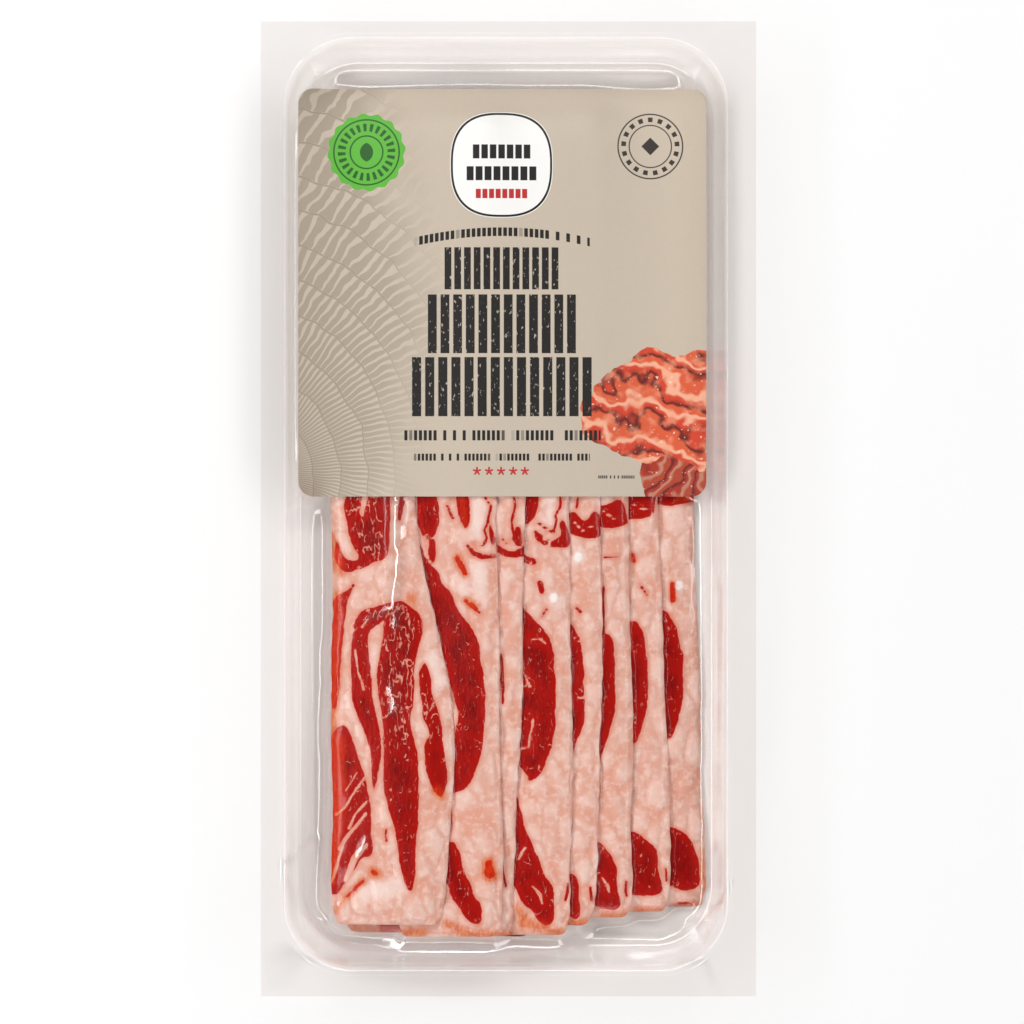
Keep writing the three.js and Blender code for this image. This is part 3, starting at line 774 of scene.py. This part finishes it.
def depth_in_patch(outline, points):
    """How deep each point lies inside a closed outline, in mm: minus is outside."""
    line = rounded(outline)
    nearest = np.full(len(points), FAR)
    inside = np.zeros(len(points), bool)
    for start, end in zip(line, np.roll(line, -1, axis=0)):
        along = end - start
        away = points - start
        share = np.clip(away @ along / (along @ along), 0, 1)
        nearest = np.minimum(nearest, np.linalg.norm(away - share[:, None] * along, axis=1))
        if start[1] != end[1]:
            crosses = (start[1] > points[:, 1]) != (end[1] > points[:, 1])
            side = start[0] + (points[:, 1] - start[1]) * along[0] / along[1]
            inside ^= crosses & (points[:, 0] < side)
    return np.where(inside, nearest, -nearest)


def depth_in_strokes(strokes, points):
    """How deep each point lies inside the nearest stroke, in mm: minus is outside."""
    deepest = np.full(len(points), -FAR)
    for stroke in strokes:
        for (x0, y0, r0), (x1, y1, r1) in zip(stroke, stroke[1:]):
            along = np.array((x1 - x0, y1 - y0))
            from_start = points - (x0, y0)
            share = np.clip(from_start @ along / (along @ along), 0, 1)
            away = np.linalg.norm(from_start - share[:, None] * along, axis=1)
            deepest = np.maximum(deepest, r0 + (r1 - r0) * share - away)
    return deepest


def paint_attribute(piece, name, values):
    made = piece.data.attributes.new(name, "FLOAT", "POINT")
    made.data.foreach_set("value", values.astype(np.float32))


# A near-white spot on each bead: white fat and a painted highlight.
bead_and_glint_strokes = [[(x, y, BEAD_AND_GLINT_SPOT), (x, y - 0.1, BEAD_AND_GLINT_SPOT)] for x, y in WHITE_BEADS_AND_GLINTS]
strokes_of = {"marbled": MARBLED, "smoked": SMOKED, "pale": PALE, "bead_and_glint": bead_and_glint_strokes}
lean_of = {}
for name, piece in meat.items():
    places = points_of(piece)[:, :2] / MM
    lean = depth_in_strokes(STREAKS.get(name, []), places)
    for outline in PATCHES.get(name, []):
        lean = np.maximum(lean, depth_in_patch(outline, places))
    lean = np.minimum(lean, -depth_in_strokes(FAT_SEAMS.get(name, []), places))
    lean_of[name] = lean
    paint_attribute(piece, "lean", lean)
    for attribute, strokes in strokes_of.items():
        paint_attribute(piece, attribute, depth_in_strokes(strokes, places))
    print(name, "is", round(100 * (lean > 0).mean()), "% lean")

# %% [markdown]
# ## Soft lumps
#
# Fat is soft, and under the film it bulges in pillows with creases between them. Voronoi cells give
# that: the distance to the second nearest seed less that to the nearest is 0 at a crease and grows
# towards each pillow's middle. Lean is smoother, so it gets only long low waves. The long edges
# waver, and the beads of white fat stand up as small domes.

# %% Raise the pillows
PILLOW = 0.5 * MM
PILLOW_SIZE = Vector((5.5, 7.5, 7.5)) * MM
PILLOW_STEEPNESS = 2.2  # how fast a pillow rises from its creases
SWELL = 0.3 * MM
SWELL_SIZE = 9 * MM
FRILL = 0.55 * MM
FRILL_SIZE = 6 * MM
MEAN_WAVE = 0.25
BEAD_HEIGHT = 0.7 * MM
BEAD_RADIUS = 1.6 * MM
SEED_STEP = 7.3  # the noise of each rasher starts this far from the last one's
SEED_SLANT = 0.37


def lump(piece, lean, seed):
    """Raises pillows on the fat, waves all over and a dome at each white bead."""
    points = points_of(piece)
    pillows = []
    shift = Vector((seed, SEED_SLANT * seed, 0))
    for point, depth in zip(points, lean):
        at = Vector(point)
        cell = Vector([c / size for c, size in zip(at, PILLOW_SIZE)]) + shift
        nearest = noise.voronoi(cell)[0]
        pillow = min(1.0, (nearest[1] - nearest[0]) * PILLOW_STEEPNESS)
        pillows.append(pillow)
        fatness = min(max(0.5 - depth, 0.0), 1.0)
        point[2] += PILLOW * (pillow - 0.5) * fatness
        point[2] += SWELL * noise.noise(at / SWELL_SIZE + shift)
        wave = abs(noise.noise(Vector((seed, at.y, 0)) / FRILL_SIZE + shift))
        point[0] += FRILL * (wave - MEAN_WAVE)
        for x, y in WHITE_BEADS_AND_GLINTS:
            away = math.hypot(at.x - x * MM, at.y - y * MM) / BEAD_RADIUS
            point[2] += BEAD_HEIGHT * max(0.0, 1 - away**2)
    put_points(piece, points)
    # The finish reads this value to paint light on top of each pillow and shade in its creases.
    paint_attribute(piece, "pillow", np.array(pillows))


for number, (name, piece) in enumerate(meat.items()):
    lump(piece, lean_of[name], SEED_STEP * number)
    take(piece)
    bpy.ops.object.shade_smooth()

# %% [markdown]
# ## The look of raw meat
#
# Lean is deep red, darker inside, with fine white threads of fat. Fat is cream and pink in soft
# clouds. Where they meet, the line wavers, so noise is added to the stored depth before it is cut.
# Smoke has turned the outer edges orange-brown. The fat is painted lighter on top of each pillow
# and darker in the creases between them, as painted light and painted shade, and each white bead
# gets a painted highlight. Each layer of colour is an ink with a mask that says where it lies. A
# bump of fine grain keeps the meat from looking moulded.

# %% The finish of the meat
def meat_finish():
    paint = Finish("bacon")
    place, *_ = paint.place()
    grain = paint.stretched(place, 1, 0.3)
    broad = paint.noise(place, 0.2, 1)
    middling = paint.noise(place, 0.7, 2)
    small = paint.noise(grain, 1.6, 2)
    waver = middling * 0.9 + small * 0.35
    depth = paint.attribute("lean") + waver * 0.7
    lean = paint.between(depth, -0.12, 0.12)

    # Short threads and a few flecks of fat lie in the lean, more of them where it is marbled.
    marbled = paint.between(paint.attribute("marbled") + waver * 2, -1.0, 2.0)
    threads = abs(paint.noise(paint.stretched(place, 1.2, 0.6), 0.3, 2, 0.2))
    some = paint.between(middling + marbled * 0.14, 0.02, 0.16)
    thread = (1 - paint.between(threads, 0.004, 0.012 + marbled * 0.022)) * some
    flecks = paint.between(paint.noise(grain, 1.5, 1) + marbled * 0.08, 0.19, 0.3)
    thread = thread.most(flecks * (0.25 + marbled * 0.4))

    # The fat, painted lighter on top of each pillow and darker in its creases: painted light and
    # shade
    clouds = paint.between(broad, -0.18, 0.18)
    spots = paint.between(middling, -0.04, 0.18)
    fine = paint.between(small, -0.25, 0.25)
    pillow = paint.attribute("pillow") + waver * 0.5
    # painted shade: 1 in the creases between the pillows
    crease_shade = 1 - paint.between(pillow, 0.0, 0.45)
    pale = paint.between(paint.attribute("pale") + waver * 2, -1.6, 1.4)
    blush = paint.between(depth, -1.2, 0.0)
    fat = paint.layers(
        paint.mix(clouds, tint(226, 164, 142), tint(234, 192, 176)),
        # painted light: the top of each pillow is painted lighter
        (paint.between(pillow, 0.1, 1.2) * 0.5, tint(243, 210, 197)),
        (spots * 0.4, tint(246, 222, 210)),
        # painted shade: the creases are painted darker
        (crease_shade * clouds * 0.32, tint(206, 122, 98)),
        (pale * 0.6, tint(247, 226, 217)),
        (blush * 0.5, tint(222, 118, 94)),
    )

    # The lean, its threads, the white beads with their painted highlight, and the smoke over all
    inner = paint.between(depth, 0.1, 3.0)
    red = paint.mix(inner * (0.35 + 0.65 * clouds), tint(172, 16, 6), tint(122, 3, 2))
    red = paint.mix(fine * 0.45, red, tint(176, 14, 6))
    bead_and_glint = paint.between(paint.attribute("bead_and_glint"), -0.3, 0.4)
    smoked = paint.between(paint.attribute("smoked") + waver * 2, -1.2, 1.2)
    brown_fat = paint.mix(fine, tint(228, 134, 76), tint(204, 84, 36))
    brown_lean = paint.mix(fine, tint(220, 62, 14), tint(200, 34, 6))
    colour = paint.layers(
        fat,
        (lean, red),
        (thread * lean * 0.8, tint(238, 168, 148)),
        # white fat and a painted highlight on each bead
        (bead_and_glint * 0.9, tint(252, 246, 241)),
        (smoked * 0.85, paint.mix(lean, brown_fat, brown_lean)),
    )

    height = fine * 0.1 + spots * 0.12 + thread * lean * 0.06 - lean * 0.1
    bump = paint.node("ShaderNodeBump", {}, Strength=0.6, Distance=MM, Height=height, out="Normal")
    return paint.principled(colour, 0.38, Specular_IOR_Level=0.12, Normal=bump)


bacon = meat_finish()
for piece in meat.values():
    dress(piece, bacon)

# %% [markdown]
# ## The film
#
# The film is sealed to the flange and the air is sucked out from under it, so it clings to the meat
# and spans the hollows like a drum skin. A cloth simulation could find that shape, slowly. A skin
# under even tension is simpler: each point sinks to a little below the mean of its four neighbours,
# and is lifted again where it would sink into what lies beneath. The grid starts square, and its
# outer rows are drawn on to the pocket's rounded outline, so that the bend at the mouth runs
# smooth. Stretched film also creases. Its folds are drawn like the streaks, as lines that
# stand up in a ridge, and two long ridges run round the mouth and the wall's foot.

# %% A grid that follows the pocket
FILM_THICKNESS = 0.1 * MM
GAP = 0.12 * MM
MEAT_CELL = 0.95 * MM
PACK_CORNER = 0.8 * MM
LEAST_CORNER = 0.05 * MM
TINY, LEAST_STEP = 1e-9, 1e-6  # these keep a division from being by 0
# How far down the wall each outer row of the grid lies: 0 is the mouth and 1 the wall's foot.
RING_SHARES = (-0.45, -0.26, -0.17, -0.08, 0.01, 0.09, 0.16, 0.25, 0.36, 0.5, 0.66, 0.83, 1.0)


def pocket_outline(share):
    """The pocket's rounded outline: its middle, its half size and its corner's radius."""
    run = WALL_RUN if share > 0 else Vector((WALL_RUN.x, WALL_RUN.x, 0))
    half = mouth_half - run * share
    corner = MOUTH_CORNER + (FLOOR_CORNER - MOUTH_CORNER) * share
    return mouth_centre, half, corner


def film_lines(axis):
    """Where the grid's lines cross an axis: on the outlines, and evenly between the two inmost."""
    rings = [pocket_outline(share) for share in RING_SHARES]
    low = [pack_low[axis]] + [centre[axis] - half[axis] for centre, half, _ in rings]
    high = [pack_high[axis]] + [centre[axis] + half[axis] for centre, half, _ in rings]
    cells = round((high[-1] - low[-1]) / MEAT_CELL)
    inside = np.linspace(low[-1], high[-1], cells + 1)[1:-1]
    return np.array([*low, *inside, *reversed(high)])


def film_plan():
    """X and Y of every point of the film's grid, and how many rows it lies in from the edge."""
    line_x, line_y = film_lines(0), film_lines(1)
    i, j = np.meshgrid(np.arange(len(line_x)), np.arange(len(line_y)))
    level = np.minimum.reduce([i, j, len(line_x) - 1 - i, len(line_y) - 1 - j])
    x, y = line_x[i], line_y[j]
    left, right = line_x[level], line_x[len(line_x) - 1 - level]
    near, far = line_y[level], line_y[len(line_y) - 1 - level]
    rings = len(RING_SHARES)
    corners = [PACK_CORNER] + [pocket_outline(share)[2] for share in RING_SHARES]
    inset = left - line_x[rings]
    corner = np.where(level <= rings, np.take(corners, np.minimum(level, rings)),
                      np.maximum(corners[-1] - inset, LEAST_CORNER))
    from_x, from_y = x - (left + right) / 2, y - (near + far) / 2
    over_x = np.abs(from_x) - ((right - left) / 2 - corner)
    over_y = np.abs(from_y) - ((far - near) / 2 - corner)
    at_corner = (over_x > 0) & (over_y > 0)
    reach = np.maximum(np.hypot(over_x, over_y), TINY)
    pull = np.where(at_corner, corner / reach, 1) - 1
    x = x + np.where(at_corner, np.sign(from_x) * over_x * pull, 0)
    y = y + np.where(at_corner, np.sign(from_y) * over_y * pull, 0)
    return x, y, level


film_x, film_y, film_level = film_plan()
print("The film's grid is", film_x.shape[1], "by", film_x.shape[0])


# %% Drape it
LABEL = {"left": -54 * MM, "right": 50.9 * MM, "head": 108.1 * MM, "foot": 3.2 * MM}
PULL = {"film": 0.60 / MM, "label": 0.004 / MM}
ROUNDS = 500
SEALED_ROWS = 5  # rows of the grid that lie on the flange
MEAT_LOW = 2 * MM  # the floor of the tray is lower than this, and the meat is higher
CLING_REACH = 1.4  # mm: film that hangs higher than this over the meat doesn't cling at all
RIDGES = {3: 0.17, 4: 0.34, 5: 0.17, 12: 0.33}  # rows at the mouth and the wall's foot, in mm
FOLD_SLOPE = 0.45  # a fold's sides slope so that they mirror a light straight up
FOLD_GLOSS = 1.3  # folded film is stretched and shows more gloss: its cling counts as minus this
# The folds: a line of (x, y) and the width of each side, in mm.
FOLDS = [
    # round the foot's left corner
    ([(-58.1, -90.5), (-57.8, -93.8), (-55.3, -100.3), (-51.9, -105.4), (-47.6, -109.0)], 1.0),
    ([(-47.6, -109.0), (-43.0, -111.5), (-39.1, -111.0), (-34.7, -110.5), (-26.3, -110.8)], 1.0),
    ([(-47.6, -107.2), (-45.5, -102.0), (-44.2, -101.5)], 0.9),
    ([(-57.0, -90.5), (-52.5, -86.5), (-48.9, -84.0)], 1.8),
    ([(-57.8, -112.0), (-53.0, -115.0), (-50.5, -115.8)], 1.7),
    ([(-48.5, -115.5), (-42.5, -117.0)], 1.7),
    # along the foot and round its right corner
    ([(-31.8, -111.5), (-21.0, -114.0), (-4.0, -113.4)], 1.0),
    ([(23.2, -109.0), (40.4, -110.2), (42.4, -111.3), (49.1, -107.5)], 1.1),
    ([(49.1, -107.5), (51.7, -104.2), (54.2, -101.6), (57.3, -95.7)], 0.9),
    ([(17.0, -116.0), (24.0, -115.6)], 1.4),
    ([(29.0, -115.8), (36.0, -115.4), (46.0, -113.0)], 1.7),
    ([(44.0, -116.4), (50.5, -116.2)], 1.5),
    # over the first rasher, where the label's edge lifts the film
    ([(-28.6, 3.0), (-28.6, -8.0), (-28.0, -14.0), (-29.3, -23.0)], 3.0),
    ([(-36.4, -28.6), (-33.6, -27.6)], 1.0),
    ([(-32.4, -27.0), (-28.2, -25.6), (-28.8, -30.6)], 1.2),
    ([(-30.2, -46.0), (-28.9, -49.0), (-29.4, -52.3)], 1.2),
    ([(-38.5, -89.0), (-36.0, -84.5)], 1.1),
    # down the right wall
    ([(53.0, 0.0), (53.0, -14.0), (54.6, -22.0), (54.0, -60.0), (53.2, -88.0)], 0.8),
]


def heights_under(x, y, pieces):
    """The height of the highest of the pieces under each place."""
    top = np.full(x.shape, -1.0)
    for piece in pieces:
        tree = BVHTree.FromPolygons(
            [v.co for v in piece.data.vertices], [f.vertices for f in piece.data.polygons]
        )
        points = points_of(piece)
        low, high = points.min(axis=0), points.max(axis=0)
        near = (x > low[0]) & (x < high[0]) & (y > low[1]) & (y < high[1])
        for place in zip(*np.nonzero(near)):
            hit = tree.ray_cast(Vector((x[place], y[place], 1)), Vector((0, 0, -1)))
            if hit[0] is not None:
                top[place] = max(top[place], hit[0].z)
    return top


def settle(least, pull, held, rounds):
    """Lets a skin sink on to the least heights. pull is how sharply it bends down, per metre."""
    x, y = film_x, film_y
    z = least.copy()
    step = [np.hypot(np.diff(x, axis=a), np.diff(y, axis=a)) for a in (0, 1)]
    weight = [1 / np.maximum(s, LEAST_STEP) for s in step]
    total = np.zeros_like(z)
    total[:-1] += weight[0]
    total[1:] += weight[0]
    total[:, :-1] += weight[1]
    total[:, 1:] += weight[1]
    spacing = 4 / total
    sink = pull * spacing**2 / 4
    for turn in range(rounds):
        mean = np.zeros_like(z)
        mean[:-1] += weight[0] * z[1:]
        mean[1:] += weight[0] * z[:-1]
        mean[:, :-1] += weight[1] * z[:, 1:]
        mean[:, 1:] += weight[1] * z[:, :-1]
        z = np.where(held, z, np.maximum(least, mean / total - sink))
    return z


under = heights_under(film_x, film_y, [tray, *meat.values()]) + GAP
held = film_level <= SEALED_ROWS
under[held] = pack_high.z + GAP / 2
on_label = ((film_x > LABEL["left"]) & (film_x < LABEL["right"])
            & (film_y > LABEL["foot"]) & (film_y < LABEL["head"]))
film_z = settle(under, np.where(on_label, PULL["label"], PULL["film"]), held, ROUNDS)
film_places = np.stack([film_x, film_y], axis=-1).reshape(-1, 2) / MM
folded = np.zeros_like(film_z)
touching = np.clip(CLING_REACH - (film_z - under) / MM, 0, 1) * (under > MEAT_LOW)
for line, width in FOLDS:
    away = -depth_in_strokes([[(x, y, 0) for x, y in line]], film_places)
    ridge = np.clip(1 - away / width, 0, 1).reshape(film_z.shape)
    film_z += np.where(held, 0, ridge * FOLD_SLOPE * width * MM)
    folded = np.maximum(folded, ridge)
for level, height in RIDGES.items():
    film_z += np.where(film_level == level, height * MM, 0)
print("The film sinks to", round(film_z.min() / MM, 2), "mm above the table.")

# %% Make the film
FILM_SHARPEST = 60
rows, columns = film_x.shape
deselect_all()
bpy.ops.mesh.primitive_grid_add(x_subdivisions=columns - 1, y_subdivisions=rows - 1, size=1)
film = bpy.context.object
film.name = "lidding_film"
put_points(film, np.stack([film_x.ravel(), film_y.ravel(), film_z.ravel()], axis=1))
paint_attribute(film, "cling", (touching * (1 - folded) - FOLD_GLOSS * folded).ravel())
apply_modifier(film, "SOLIDIFY", thickness=FILM_THICKNESS, offset=1)
shade_smooth(film, FILM_SHARPEST)
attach(film, "root")
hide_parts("film")
dress(film, film_clear)
print("The film has", len(film.data.polygons), "faces.")

# %% [markdown]
# ## The label
#
# The label is a square of matt card with rounded corners. It starts as a plane with bevelled
# corners, which planes cut into a fine net, so that it can bend. It is stiffer than the film and
# bridges the small hollows, so each place takes the highest of the film's points next to it.

# %% Cut the label out and lay it on
LABEL_THICKNESS = 0.15 * MM
LABEL_CORNER = 3.8 * MM
LABEL_CORNER_SEGMENTS = 10
LABEL_SHARPEST = 50
LABEL_LIFT = 0.15 * MM  # how high it lies over the film
NET = 2.5 * MM
BRIDGED = 1.2 * MM  # how wide the hollows are that it evens out


def make_label():
    width, length = LABEL["right"] - LABEL["left"], LABEL["head"] - LABEL["foot"]
    centre = Vector((LABEL["left"] + LABEL["right"], LABEL["foot"] + LABEL["head"], 0)) / 2
    corner = (LABEL_CORNER, LABEL_CORNER_SEGMENTS)
    label = cut_sheet("label_card", centre, width, length, *corner)
    for axis, size in ((0, width), (1, length)):
        cuts = round(size / NET)
        for cut in range(1, cuts):
            bpy.ops.mesh.select_all(action="SELECT")
            at = centre.copy()
            at[axis] += size * (cut / cuts - 0.5)
            normal = Vector((axis == 0, axis == 1, 0))
            bpy.ops.mesh.bisect(plane_co=at, plane_no=normal)
    bpy.ops.object.mode_set(mode="OBJECT")
    return label


def surface_at(places, x, y, z, reach):
    """The height of a net of points at each place, from the points nearest to it."""
    heights = []
    for place in places:
        near = np.hypot(x - place[0], y - place[1])
        weight = np.exp(-((near / reach) ** 2))
        heights.append((weight * z).sum() / weight.sum())
    return np.array(heights)


label = make_label()
label_points = points_of(label)
around = [np.roll(film_z, shift, (0, 1)) for shift in np.ndindex(3, 3)]
stiff = np.roll(np.maximum.reduce(around), (-1, -1), (0, 1))[on_label]
film_net = (film_x[on_label], film_y[on_label], stiff)
label_points[:, 2] = surface_at(label_points[:, :2], *film_net, BRIDGED)
label_points[:, 2] += FILM_THICKNESS + LABEL_LIFT
put_points(label, label_points)
face_up(label)
apply_modifier(label, "SOLIDIFY", thickness=LABEL_THICKNESS, offset=1)
shade_smooth(label, LABEL_SHARPEST)
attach(label, "root")
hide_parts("label")
print("The label has", len(label.data.polygons), "faces.")


# %% [markdown]
# ## The label's print
#
# A print could be a picture wrapped on to the card. Plain shapes can be drawn by the finish
# itself, and stay sharp at any size. Each shape is a mask that is 1 inside and 0 outside. Masks
# multiply to cut one another, and each one mixes its ink over what is there. The layout is a
# made-up one: a badge, a ring, a plaque, rows of woodblock bars, a fan of hatching and a corner of
# wavy strips.

# %% Shapes for printing
SOFT = 0.06  # how far an edge of ink blurs, in mm


def inked(paint, depth):
    """1 where depth, in mm, is above 0."""
    return paint.between(depth, -SOFT, SOFT)


def span(paint, value, low, high):
    """1 where value lies between low and high."""
    return inked(paint, value - low) * inked(paint, high - value)


def distance(x, y, centre, squash=1.0):
    """How far a place is from a centre."""
    return ((x - centre[0]) ** 2 + ((y - centre[1]) * squash) ** 2) ** 0.5


def bars(paint, x, y, box, pitch, gap, seed=0, blanks=0.0):
    """A row of upright bars in a box, of which a share is left blank."""
    left, right, low, high = box
    number = ((x - left) / pitch).floor()
    along = x - left - number * pitch
    bar = span(paint, along, gap / 2, pitch - gap / 2)
    bar = bar * span(paint, x, left, right) * span(paint, y, low, high)
    if blanks:
        settings = {"noise_dimensions": "1D"}
        chance = paint.node("ShaderNodeTexWhiteNoise", settings, W=number + seed, out="Value")
        bar = bar * inked(paint, chance - blanks)
    return bar


# %% The inks and the layout
BEIGE = tint(203, 188, 170)
BLACK = tint(24, 20, 18)
RED_INK = tint(190, 42, 44)
GREEN = tint(96, 182, 60)
DARK_GREEN = tint(38, 96, 32)
TAUPE = tint(160, 146, 128)
GREY = tint(54, 46, 40)
WHITE = tint(250, 248, 244)
# Places and sizes are in mm. A place is (x, y), and a box (left, right, low, high).
BADGE, BADGE_RADIUS = (-36.5, 91.7), 9.8
SCALLOPS, SCALLOP_DEPTH = 16, 0.3
BADGE_LINES = ((8.2, 8.6), (4.0, 4.4))
BADGE_RAYS, RAYS_SPAN = 24, (5.4, 7.4)
LEAF_RADIUS, LEAF_OFFSET = 2.6, 0.9  # the leaf is where two discs overlap
RING = (36.5, 93.3)
RING_LINES = ((8.15, 8.5), (5.3, 5.6))
RING_TICKS, TICKS_SPAN = 17, (6.3, 7.5)
RING_DIAMOND = 2.3
PLAQUE, PLAQUE_SIZE, PLAQUE_SQUARENESS = (-1.8, 88.4), (13.2, 13.6), 2.6
# In the plaque: half the width of each row, its low and high Y from the middle, pitch, gap and ink.
PLAQUE_ROWS = [
    (7.6, 1.6, 5.2, 2.18, 0.5, BLACK),
    (9.2, -4.0, -0.4, 2.3, 0.5, BLACK),
    (6.8, -8.6, -6.2, 1.7, 0.4, RED_INK),
]
# Large rows and small lines: a box and the pitch of its bars.
ROWS = [
    ((-16.8, 13.2, 56.4, 67.2), 2.5),
    ((-21.2, 17.8, 40.0, 55.1), 3.25),
    ((-25.3, 21.9, 23.8, 39.0), 3.37),
]
SMALL_LINES = [
    ((-27.0, 23.7, 17.6, 20.2), 1.25),
    ((-24.5, 20.9, 12.4, 14.2), 1.0),
    ((23.0, 33.0, 7.8, 8.6), 0.5),
]
# The arched line: its box, from the arch up, and its bars' pitch and gap.
ARCHED_LINE = ((-24.5, 20.9, -0.9, 1.3), 1.35, 0.4)
ARCH_FOOT, ARCH_RISE, ARCH_HALF = 68.4, 2.6, 22.5
STARS, STAR_Y, STAR_SIZE, STAR_POINTS = (-8.1, -5.0, -1.9, 1.2, 4.2), 9.7, 1.1, 5
FAN, FAN_ARC, FAN_HATCHES = (-64.0, 8.0), 7.0, 70
# The heap's two bundles: middle, radius and how much flatter than a circle each is.
HEAP_TOP = ((42.0, 25.5), 22.0, 1.5)
HEAP_FOOT = ((48.5, 9.0), 15.0, 1.1)


# %% Print the pictures
def print_fan(paint, x, y, waver, colour):
    """Arcs of fine hatching, as in an engraving, which fade towards the middle of the label."""
    far = distance(x, y, FAN, 0.8) + waver * 3
    arc = (far / FAN_ARC) % 1.0
    turn = (y - FAN[1]).turn(x - FAN[0])
    hatch = abs((turn * FAN_HATCHES + arc * 3 + waver * 4).sin())
    line = paint.between(hatch, 0.15 + 0.5 * arc, 0.35 + 0.5 * arc)
    rim = paint.between(arc, 0.9, 0.97) * (1 - paint.between(arc, 0.97, 1.0))
    fade = 1 - paint.between(x + waver * 14 + abs(y - 50) * 0.2, -34, -12)
    return paint.mix((line * 0.7).most(rim) * fade, colour, TAUPE)


def print_strips(paint, x, y, waver, colour):
    """A heap of wavy cooked strips in the corner, a pale bundle over a dark one."""
    ripple = (x * 0.5 + y * 0.2).sin() * 0.9
    top, foot = [radius - distance(x, y, middle, squash)
                 for middle, radius, squash in (HEAP_TOP, HEAP_FOOT)]
    top = top + waver * 14 + ripple * 1.6
    foot = foot + waver * 6
    mask = inked(paint, top.most(foot))
    over = inked(paint, top)
    lie_top = (x * 0.34 + y * 0.9 + waver * 20 + (x * 0.32).sin() * 1.6) / 8.0
    lie_foot = (x * 0.8 - y * 0.5 + waver * 16) / 5.0
    across = (lie_foot + (lie_top - lie_foot) * over) % 1.0
    flat = paint.node("ShaderNodeCombineXYZ", {}, x, y)
    mottled = paint.between(paint.noise(flat, 0.28, 3), -0.02, 0.2)
    gleam = paint.between(paint.noise(flat, 0.9, 2), 0.14, 0.24)
    ink = paint.layers(
        tint(100, 20, 12),
        (paint.between(across, 0.0, 0.25), tint(214, 66, 36)),
        (paint.between(across, 0.3, 0.44), tint(246, 178, 146)),
        (paint.between(across, 0.52, 0.66), tint(222, 92, 54)),
        (paint.between(across, 0.84, 1.0), tint(116, 26, 14)),
        (mottled * 0.6 * over, tint(244, 158, 122)),
        ((1 - over) * 0.5, tint(118, 18, 14)),
        (gleam * 0.8, tint(255, 232, 214)),
    )
    return paint.mix(mask, colour, ink)


# %% Print the signs
def print_badge(paint, x, y, colour):
    """A scalloped disc with rings, rays and a leaf."""
    far = distance(x, y, BADGE)
    turn = (y - BADGE[1]).turn(x - BADGE[0])
    edge = BADGE_RADIUS + (turn * SCALLOPS).sin() * SCALLOP_DEPTH
    lines = inked(paint, (turn * BADGE_RAYS).sin()) * span(paint, far, *RAYS_SPAN)
    for low, high in BADGE_LINES:
        lines = lines.most(span(paint, far, low, high))
    discs = [inked(paint, LEAF_RADIUS - distance(x + shift, y, BADGE))
             for shift in (LEAF_OFFSET, -LEAF_OFFSET)]
    leaf = discs[0] * discs[1]
    return paint.layers(colour, (inked(paint, edge - far), GREEN), (lines.most(leaf), DARK_GREEN))


def print_ring(paint, x, y, colour):
    """Two thin circles with ticks between them, and a diamond."""
    far = distance(x, y, RING)
    turn = (y - RING[1]).turn(x - RING[0])
    lines = inked(paint, (turn * RING_TICKS).sin() - 0.1) * span(paint, far, *TICKS_SPAN)
    for low, high in RING_LINES:
        lines = lines.most(span(paint, far, low, high))
    diamond = inked(paint, RING_DIAMOND - abs(x - RING[0]) - abs(y - RING[1]))
    return paint.mix(lines.most(diamond), colour, GREY)


def print_plaque(paint, x, y, colour):
    """A white shape between a square and a circle, with a thin line inside its edge."""
    (mid_x, mid_y), (wide, tall) = PLAQUE, PLAQUE_SIZE
    far_x, far_y = abs(x - mid_x) / wide, abs(y - mid_y) / tall
    far = far_x**PLAQUE_SQUARENESS + far_y**PLAQUE_SQUARENESS
    rim = paint.between(far, 0.86, 0.87) * paint.between(1.0 - far, 0.03, 0.04)
    colour = paint.layers(colour, (paint.between(1.0 - far, -0.01, 0.01), WHITE), (rim, BLACK))
    for half, low, high, pitch, gap, ink in PLAQUE_ROWS:
        box = (mid_x - half, mid_x + half, mid_y + low, mid_y + high)
        colour = paint.mix(bars(paint, x, y, box, pitch, gap), colour, ink)
    return colour


# %% Print the lines
def print_lines(paint, x, y, worn, colour):
    """Rows of large worn bars, an arched line over them and small lines under them."""
    rows = [bars(paint, x, y, box, pitch, 0.3 * pitch) for box, pitch in ROWS]
    rows = rows[0].most(rows[1]).most(rows[2]) * (1 - 0.85 * worn)
    arch = ARCH_FOOT + ARCH_RISE * (1 - ((x - PLAQUE[0]) / ARCH_HALF) ** 2)
    lines = bars(paint, x, y - arch, *ARCHED_LINE, seed=71, blanks=0.16)
    for number, (box, pitch) in enumerate(SMALL_LINES):
        line = bars(paint, x, y, box, pitch, 0.35 * pitch, seed=90 + number, blanks=0.14)
        lines = lines.most(line)
    return paint.layers(colour, (rows, BLACK), (lines, BLACK))


def print_stars(paint, x, y, colour):
    """A row of small stars: discs whose edge goes in and out as it turns."""
    for star in STARS:
        turn = (x - star).turn(y - STAR_Y)
        edge = STAR_SIZE * (0.72 + 0.34 * (turn * STAR_POINTS + math.pi / 2).sin())
        colour = paint.mix(inked(paint, edge - distance(x, y, (star, STAR_Y))), colour, RED_INK)
    return colour


# %% The label's finish
def label_finish():
    paint = Finish("label")
    place, x, y, _ = paint.place()
    waver = paint.noise(place, 0.12, 2)
    fibre = paint.between(paint.noise(place, 0.9, 3), -0.3, 0.3)
    worn = paint.between(paint.noise(paint.stretched(place, 1, 0.5), 1.6, 3), 0.12, 0.2)
    colour = paint.mix(fibre * 0.5, BEIGE, tint(199, 184, 165))
    colour = print_fan(paint, x, y, waver, colour)
    colour = print_strips(paint, x, y, waver, colour)
    colour = print_badge(paint, x, y, colour)
    colour = print_ring(paint, x, y, colour)
    colour = print_plaque(paint, x, y, colour)
    colour = print_lines(paint, x, y, worn, colour)
    colour = print_stars(paint, x, y, colour)
    return paint.principled(colour, 0.6)


dress(label, label_finish())
